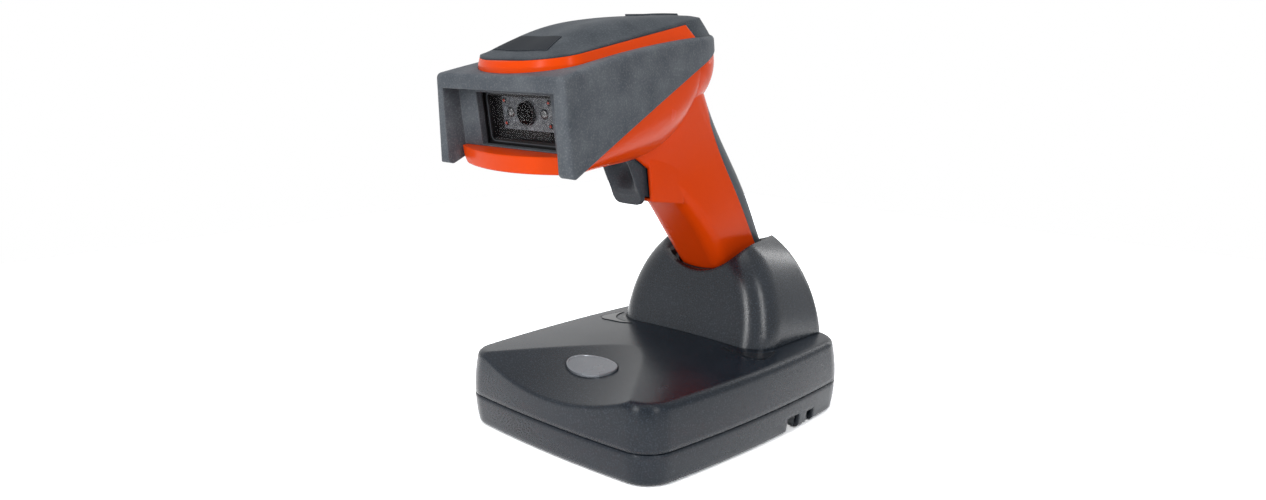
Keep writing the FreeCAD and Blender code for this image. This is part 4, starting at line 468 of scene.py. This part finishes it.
finger_trigger = settled(trigger, "finger_trigger", trigger_grain, "trigger", "trigger_grey", "trigger")
rounding = finger_trigger.modifiers.new("rounding", "SUBSURF")
rounding.levels = 2
rounding.render_levels = 2

# --------------------------------------------------------- window and its gaskets
# Behind the hood a black moulded frame presses a clear acrylic pane on a rubber gasket.
# The same black plastic makes the engine's body, the chassis and the small bought-in parts,
# and the same rubber makes the end cap's gasket and the feet.

frame_black = finish(
    "frame_black", deep=(0.006, 0.006, 0.007), pale=(0.014, 0.014, 0.016), roughness=0.5,
    grain=1800.0, relief=0.00003, gloss=0.3,
)
dressed(
    frame_black, "window_frame", "imager_body", "chassis", "beeper", "trigger_switch",
    "contact_block", "data_jack", "power_jack",
)
rubber_black = finish(
    "rubber_black", deep=(0.008, 0.008, 0.009), pale=(0.016, 0.016, 0.018), roughness=0.8,
    grain=1500.0, relief=0.00004, gloss=0.3,
)
dressed(rubber_black, "window_gasket", "cap_gasket", "rubber_feet")
clear_pane = finish(
    "clear_pane", deep=(0.02, 0.02, 0.022), pale=(0.03, 0.03, 0.033), roughness=0.04,
    grain=300.0, relief=0.000001, gloss=0.3,
)
clear_pane.node_tree.nodes["Principled BSDF"].inputs["Alpha"].default_value = 0.08
dressed(clear_pane, "window_glass")

# ---------------------------------------------------------------- engine shroud
# A thin black plastic box, open at the front, between the window's frame and the engine.
# It lines the space from the pane back to the engine's plate, so that only the plate is seen.

head_turn = Matrix.Rotation(head_lean, 4, "X")
plate_low, plate_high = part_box("imager_plate")
plate_middle = (plate_low + plate_high) / 2
engine_place = Matrix.Translation(plate_middle) @ head_turn
glass_thickness = 0.0012
glass_low, glass_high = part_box("window_glass")
glass_offset = head_turn.inverted() @ ((glass_low + glass_high) / 2 - plate_middle)
glass_width = glass_high.x - glass_low.x
glass_height = (glass_high.z - glass_low.z - glass_thickness * math.sin(head_lean)) / math.cos(head_lean)

shroud_wall = 0.0006
shroud_margin = 0.0015
shroud_set_back = 0.0010
shroud_front = glass_offset.y + shroud_set_back
shroud_back = 0.0012
shroud_size = (glass_width - 2 * shroud_margin, shroud_back - shroud_front, glass_height - 2 * shroud_margin)
shroud_middle = (0, (shroud_front + shroud_back) / 2, glass_offset.z)
shroud = bmesh.new()
bmesh.ops.create_cube(shroud, size=1.0)
bmesh.ops.scale(shroud, vec=shroud_size, verts=shroud.verts)
bmesh.ops.translate(shroud, vec=shroud_middle, verts=shroud.verts)
front_end = min(shroud.faces, key=lambda face: face.calc_center_median().y)
bmesh.ops.delete(shroud, geom=[front_end], context="FACES")
bmesh.ops.solidify(shroud, geom=shroud.faces, thickness=-shroud_wall)
bmesh.ops.recalc_face_normals(shroud, faces=shroud.faces)
bmesh.ops.transform(shroud, matrix=engine_place, verts=shroud.verts)
settled(shroud, "engine_shroud", frame_black, "scanner", "dark_plastic")

# ------------------------------------------------------------------ window bead
# A narrow bead runs round the pane, with rounded corners; its pale grey is a painted highlight of the
# frame's inner edge.
# It lies just behind the pane, inside the mouth of the shroud.

bead_margin = 0.0026
bead_corner = 0.0028
bead_width = 0.00045
bead_depth = 0.0007
bead_set_back = 0.0012
bead = bmesh.new()
bmesh.ops.create_grid(bead, x_segments=1, y_segments=1, size=0.5)
bmesh.ops.scale(
    bead, vec=(glass_width - 2 * bead_margin, glass_height - 2 * bead_margin, 1.0), verts=bead.verts
)
bmesh.ops.bevel(
    bead, geom=bead.verts[:], offset=bead_corner, segments=7, profile=0.5, affect="VERTICES", material=-1,
    clamp_overlap=True,
)
middle = bead.faces[:]
bmesh.ops.inset_region(
    bead, faces=middle, thickness=bead_width, depth=0.0, use_even_offset=True, use_boundary=True
)
bmesh.ops.delete(bead, geom=middle, context="FACES")
wall = bmesh.ops.extrude_face_region(bead, geom=bead.faces[:])
wall_verts = [item for item in wall["geom"] if isinstance(item, bmesh.types.BMVert)]
bmesh.ops.translate(bead, vec=(0, 0, bead_depth), verts=wall_verts)
bmesh.ops.recalc_face_normals(bead, faces=bead.faces)
behind_pane = Matrix.Translation((0, glass_offset.y + bead_set_back, glass_offset.z))
upright = Matrix.Rotation(math.radians(90), 4, "X")
bmesh.ops.transform(bead, matrix=engine_place @ behind_pane @ upright, verts=bead.verts)
# The bead's pale grey paints the highlight along the window frame's inner edge.
bead_painted_highlight = finish(
    "bead_painted_highlight", deep=(0.10, 0.115, 0.13), pale=(0.2, 0.22, 0.24), roughness=0.25,
    grain=1200.0, relief=0.00001,
)
settled(bead, "window_bead", bead_painted_highlight, "scanner", "dark_plastic")

# ----------------------------------------------------- engine plate and camera eye
# A cast bracket plate with the camera's black lens barrel in its middle.
# The lens that closes the barrel is a shallow dome of dark coated glass.

lens_dark = finish(
    "lens_dark", deep=(0.001, 0.001, 0.0015), pale=(0.002, 0.002, 0.003), roughness=0.1,
    grain=300.0, relief=0.000001, gloss=0.05,
)
barrel_black = finish(
    "barrel_black", deep=(0.005, 0.005, 0.006), pale=(0.012, 0.012, 0.014), roughness=0.4,
    grain=1500.0, relief=0.00002, gloss=0.4,
)
dressed(barrel_black, "lens_barrel")
engine_grey = finish(
    "engine_grey", deep=(0.030, 0.036, 0.042), pale=(0.26, 0.28, 0.31), roughness=0.34,
    grain=700.0, relief=0.00012, speckle=0.7, mottle=0.6, gloss=0.4, edge_wear_and_highlight=0.5, patch=260.0,
)
dressed(engine_grey, "imager_plate")


def turned_dome(x, up, front, radius, stand, crown):
    """Lamp or lens on a short neck that stands out of the plate, spun from its half outline."""
    root = 0.0006
    merge_reach = 0.000002
    arch = ((0.0, 1.0), (0.55, 0.83), (0.88, 0.4), (1.0, 0.0))      # shares of radius and crown
    side = [(out * radius, front - stand - rise * crown) for out, rise in arch]
    side += [(radius, front + root), (0, front + root)]
    dome = bmesh.new()
    outline = [dome.verts.new((out, back, 0)) for out, back in side]
    strip = [dome.edges.new(pair) for pair in zip(outline, outline[1:])]
    bmesh.ops.spin(
        dome, geom=outline + strip, cent=(0, 0, 0), axis=(0, 1, 0), angle=math.tau, steps=28, use_merge=True,
    )
    bmesh.ops.remove_doubles(dome, verts=dome.verts, dist=merge_reach)
    bmesh.ops.translate(dome, vec=(x, 0, up), verts=dome.verts)
    bmesh.ops.recalc_face_normals(dome, faces=dome.faces)
    return dome


plate_front = -0.0005
eye_stand_off = 0.0011
barrel_low, barrel_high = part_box("lens_barrel")
barrel_up = (head_turn.inverted() @ ((barrel_low + barrel_high) / 2 - plate_middle)).z
eye = turned_dome(
    0, barrel_up, front=plate_front - eye_stand_off, radius=0.0047, stand=0.0006, crown=0.0009
)
bmesh.ops.transform(eye, matrix=engine_place, verts=eye.verts)
settled(eye, "camera_eye", lens_dark, "scanner", "lens_pane", "lens_glass")

# ------------------------------------------------------------------- lamp domes
# Two clear moulded lamps beside the barrel light the code that is being read.
# The lamps on the boards are of the same clear resin.


def joined(parts, place):
    """Several bmeshes as one, put in place."""
    whole = bmesh.new()
    for part in parts:
        data = bpy.data.meshes.new("part")
        part.to_mesh(data)
        part.free()
        whole.from_mesh(data)
        bpy.data.meshes.remove(data)
    bmesh.ops.transform(whole, matrix=place, verts=whole.verts)
    return whole


lamp_spread = 0.0106
lamp_glass = finish(
    "lamp_glass", deep=(0.03, 0.034, 0.04), pale=(0.3, 0.32, 0.34), roughness=0.07,
    grain=500.0, relief=0.00001, coat=1.0,
)
lamp_domes = [
    turned_dome(side * lamp_spread, barrel_up, front=plate_front, radius=0.0022, stand=0.0003, crown=0.0008)
    for side in (-1, 1)
]
settled(
    joined(lamp_domes, engine_place), "lamp_domes", lamp_glass, "scanner", "status_lens", "illumination_leds"
)
lamp_clear = finish(
    "lamp_clear", deep=(0.5, 0.5, 0.5), pale=(0.75, 0.75, 0.75), roughness=0.1,
    grain=500.0, relief=0.00001, coat=1.0,
)
dressed(lamp_clear, "base_leds", "status_led")

# -------------------------------------------------------------------- aimer lamps
# Four small red lamps at the corners of the plate throw the aiming pattern.
# Each tip stands in a black metal collar that is pressed into the plate.

aimer_spread = 0.0140
aimer_rise = 0.0048
collar_stand = 0.0002
aimer_places = [
    (side * aimer_spread, barrel_up + level * aimer_rise) for side in (-1, 1) for level in (-1, 1)
]
aimer_collars = [
    turned_dome(x, up, front=plate_front, radius=0.00125, stand=collar_stand, crown=0.0002)
    for x, up in aimer_places
]
settled(joined(aimer_collars, engine_place), "aimer_collars", barrel_black, "scanner", "barrel_metal")
aimer_glow = finish(
    "aimer_glow", deep=(0.62, 0.03, 0.008), pale=(0.8, 0.08, 0.02), roughness=0.15,
    grain=500.0, relief=0.00001, coat=1.0,
)
aimer_tips = [
    turned_dome(x, up, front=plate_front - collar_stand, radius=0.0006, stand=0.0003, crown=0.0004)
    for x, up in aimer_places
]
settled(joined(aimer_tips, engine_place), "aimer_tips", aimer_glow, "scanner", "aimer_red", "aimer_leds")

# ------------------------------------------------------------------ inner works
# Glass fibre boards with tinned shields, zinc plated screws, pins and springs, gilded
# contacts and a shrink-wrapped battery. They are seen only when the shells are open.

board_green = finish(
    "board_green", deep=(0.008, 0.07, 0.022), pale=(0.015, 0.12, 0.04), roughness=0.35,
    grain=900.0, relief=0.00002,
)
dressed(board_green, "base_board", "main_board", "imager_board", "battery_carrier", "contact_ribbon")
shield_tin = finish(
    "shield_tin", deep=(0.5, 0.5, 0.48), pale=(0.62, 0.62, 0.6), roughness=0.35,
    grain=900.0, relief=0.00001, metal=1.0,
)
dressed(shield_tin, "base_radio_module", "radio_module")
zinc_steel = finish(
    "zinc_steel", deep=(0.42, 0.42, 0.43), pale=(0.55, 0.55, 0.56), roughness=0.3,
    grain=1200.0, relief=0.00001, metal=1.0,
)
dressed(
    zinc_steel, "tray_screws", "dome_screws", "board_screws", "board_studs", "housing_screws",
    "trigger_pin", "trigger_spring", "ballast_plate",
)
contact_gold = finish(
    "contact_gold", deep=(0.75, 0.52, 0.20), pale=(0.85, 0.62, 0.28), roughness=0.25,
    grain=1200.0, relief=0.00001, metal=1.0,
)
dressed(contact_gold, "contact_pins", "contact_springs", "battery_contacts", "charge_pads")
battery_wrap = finish(
    "battery_wrap", deep=(0.02, 0.05, 0.16), pale=(0.03, 0.07, 0.2), roughness=0.3,
    grain=600.0, relief=0.00001, coat=0.3,
)
dressed(battery_wrap, "battery_pack")
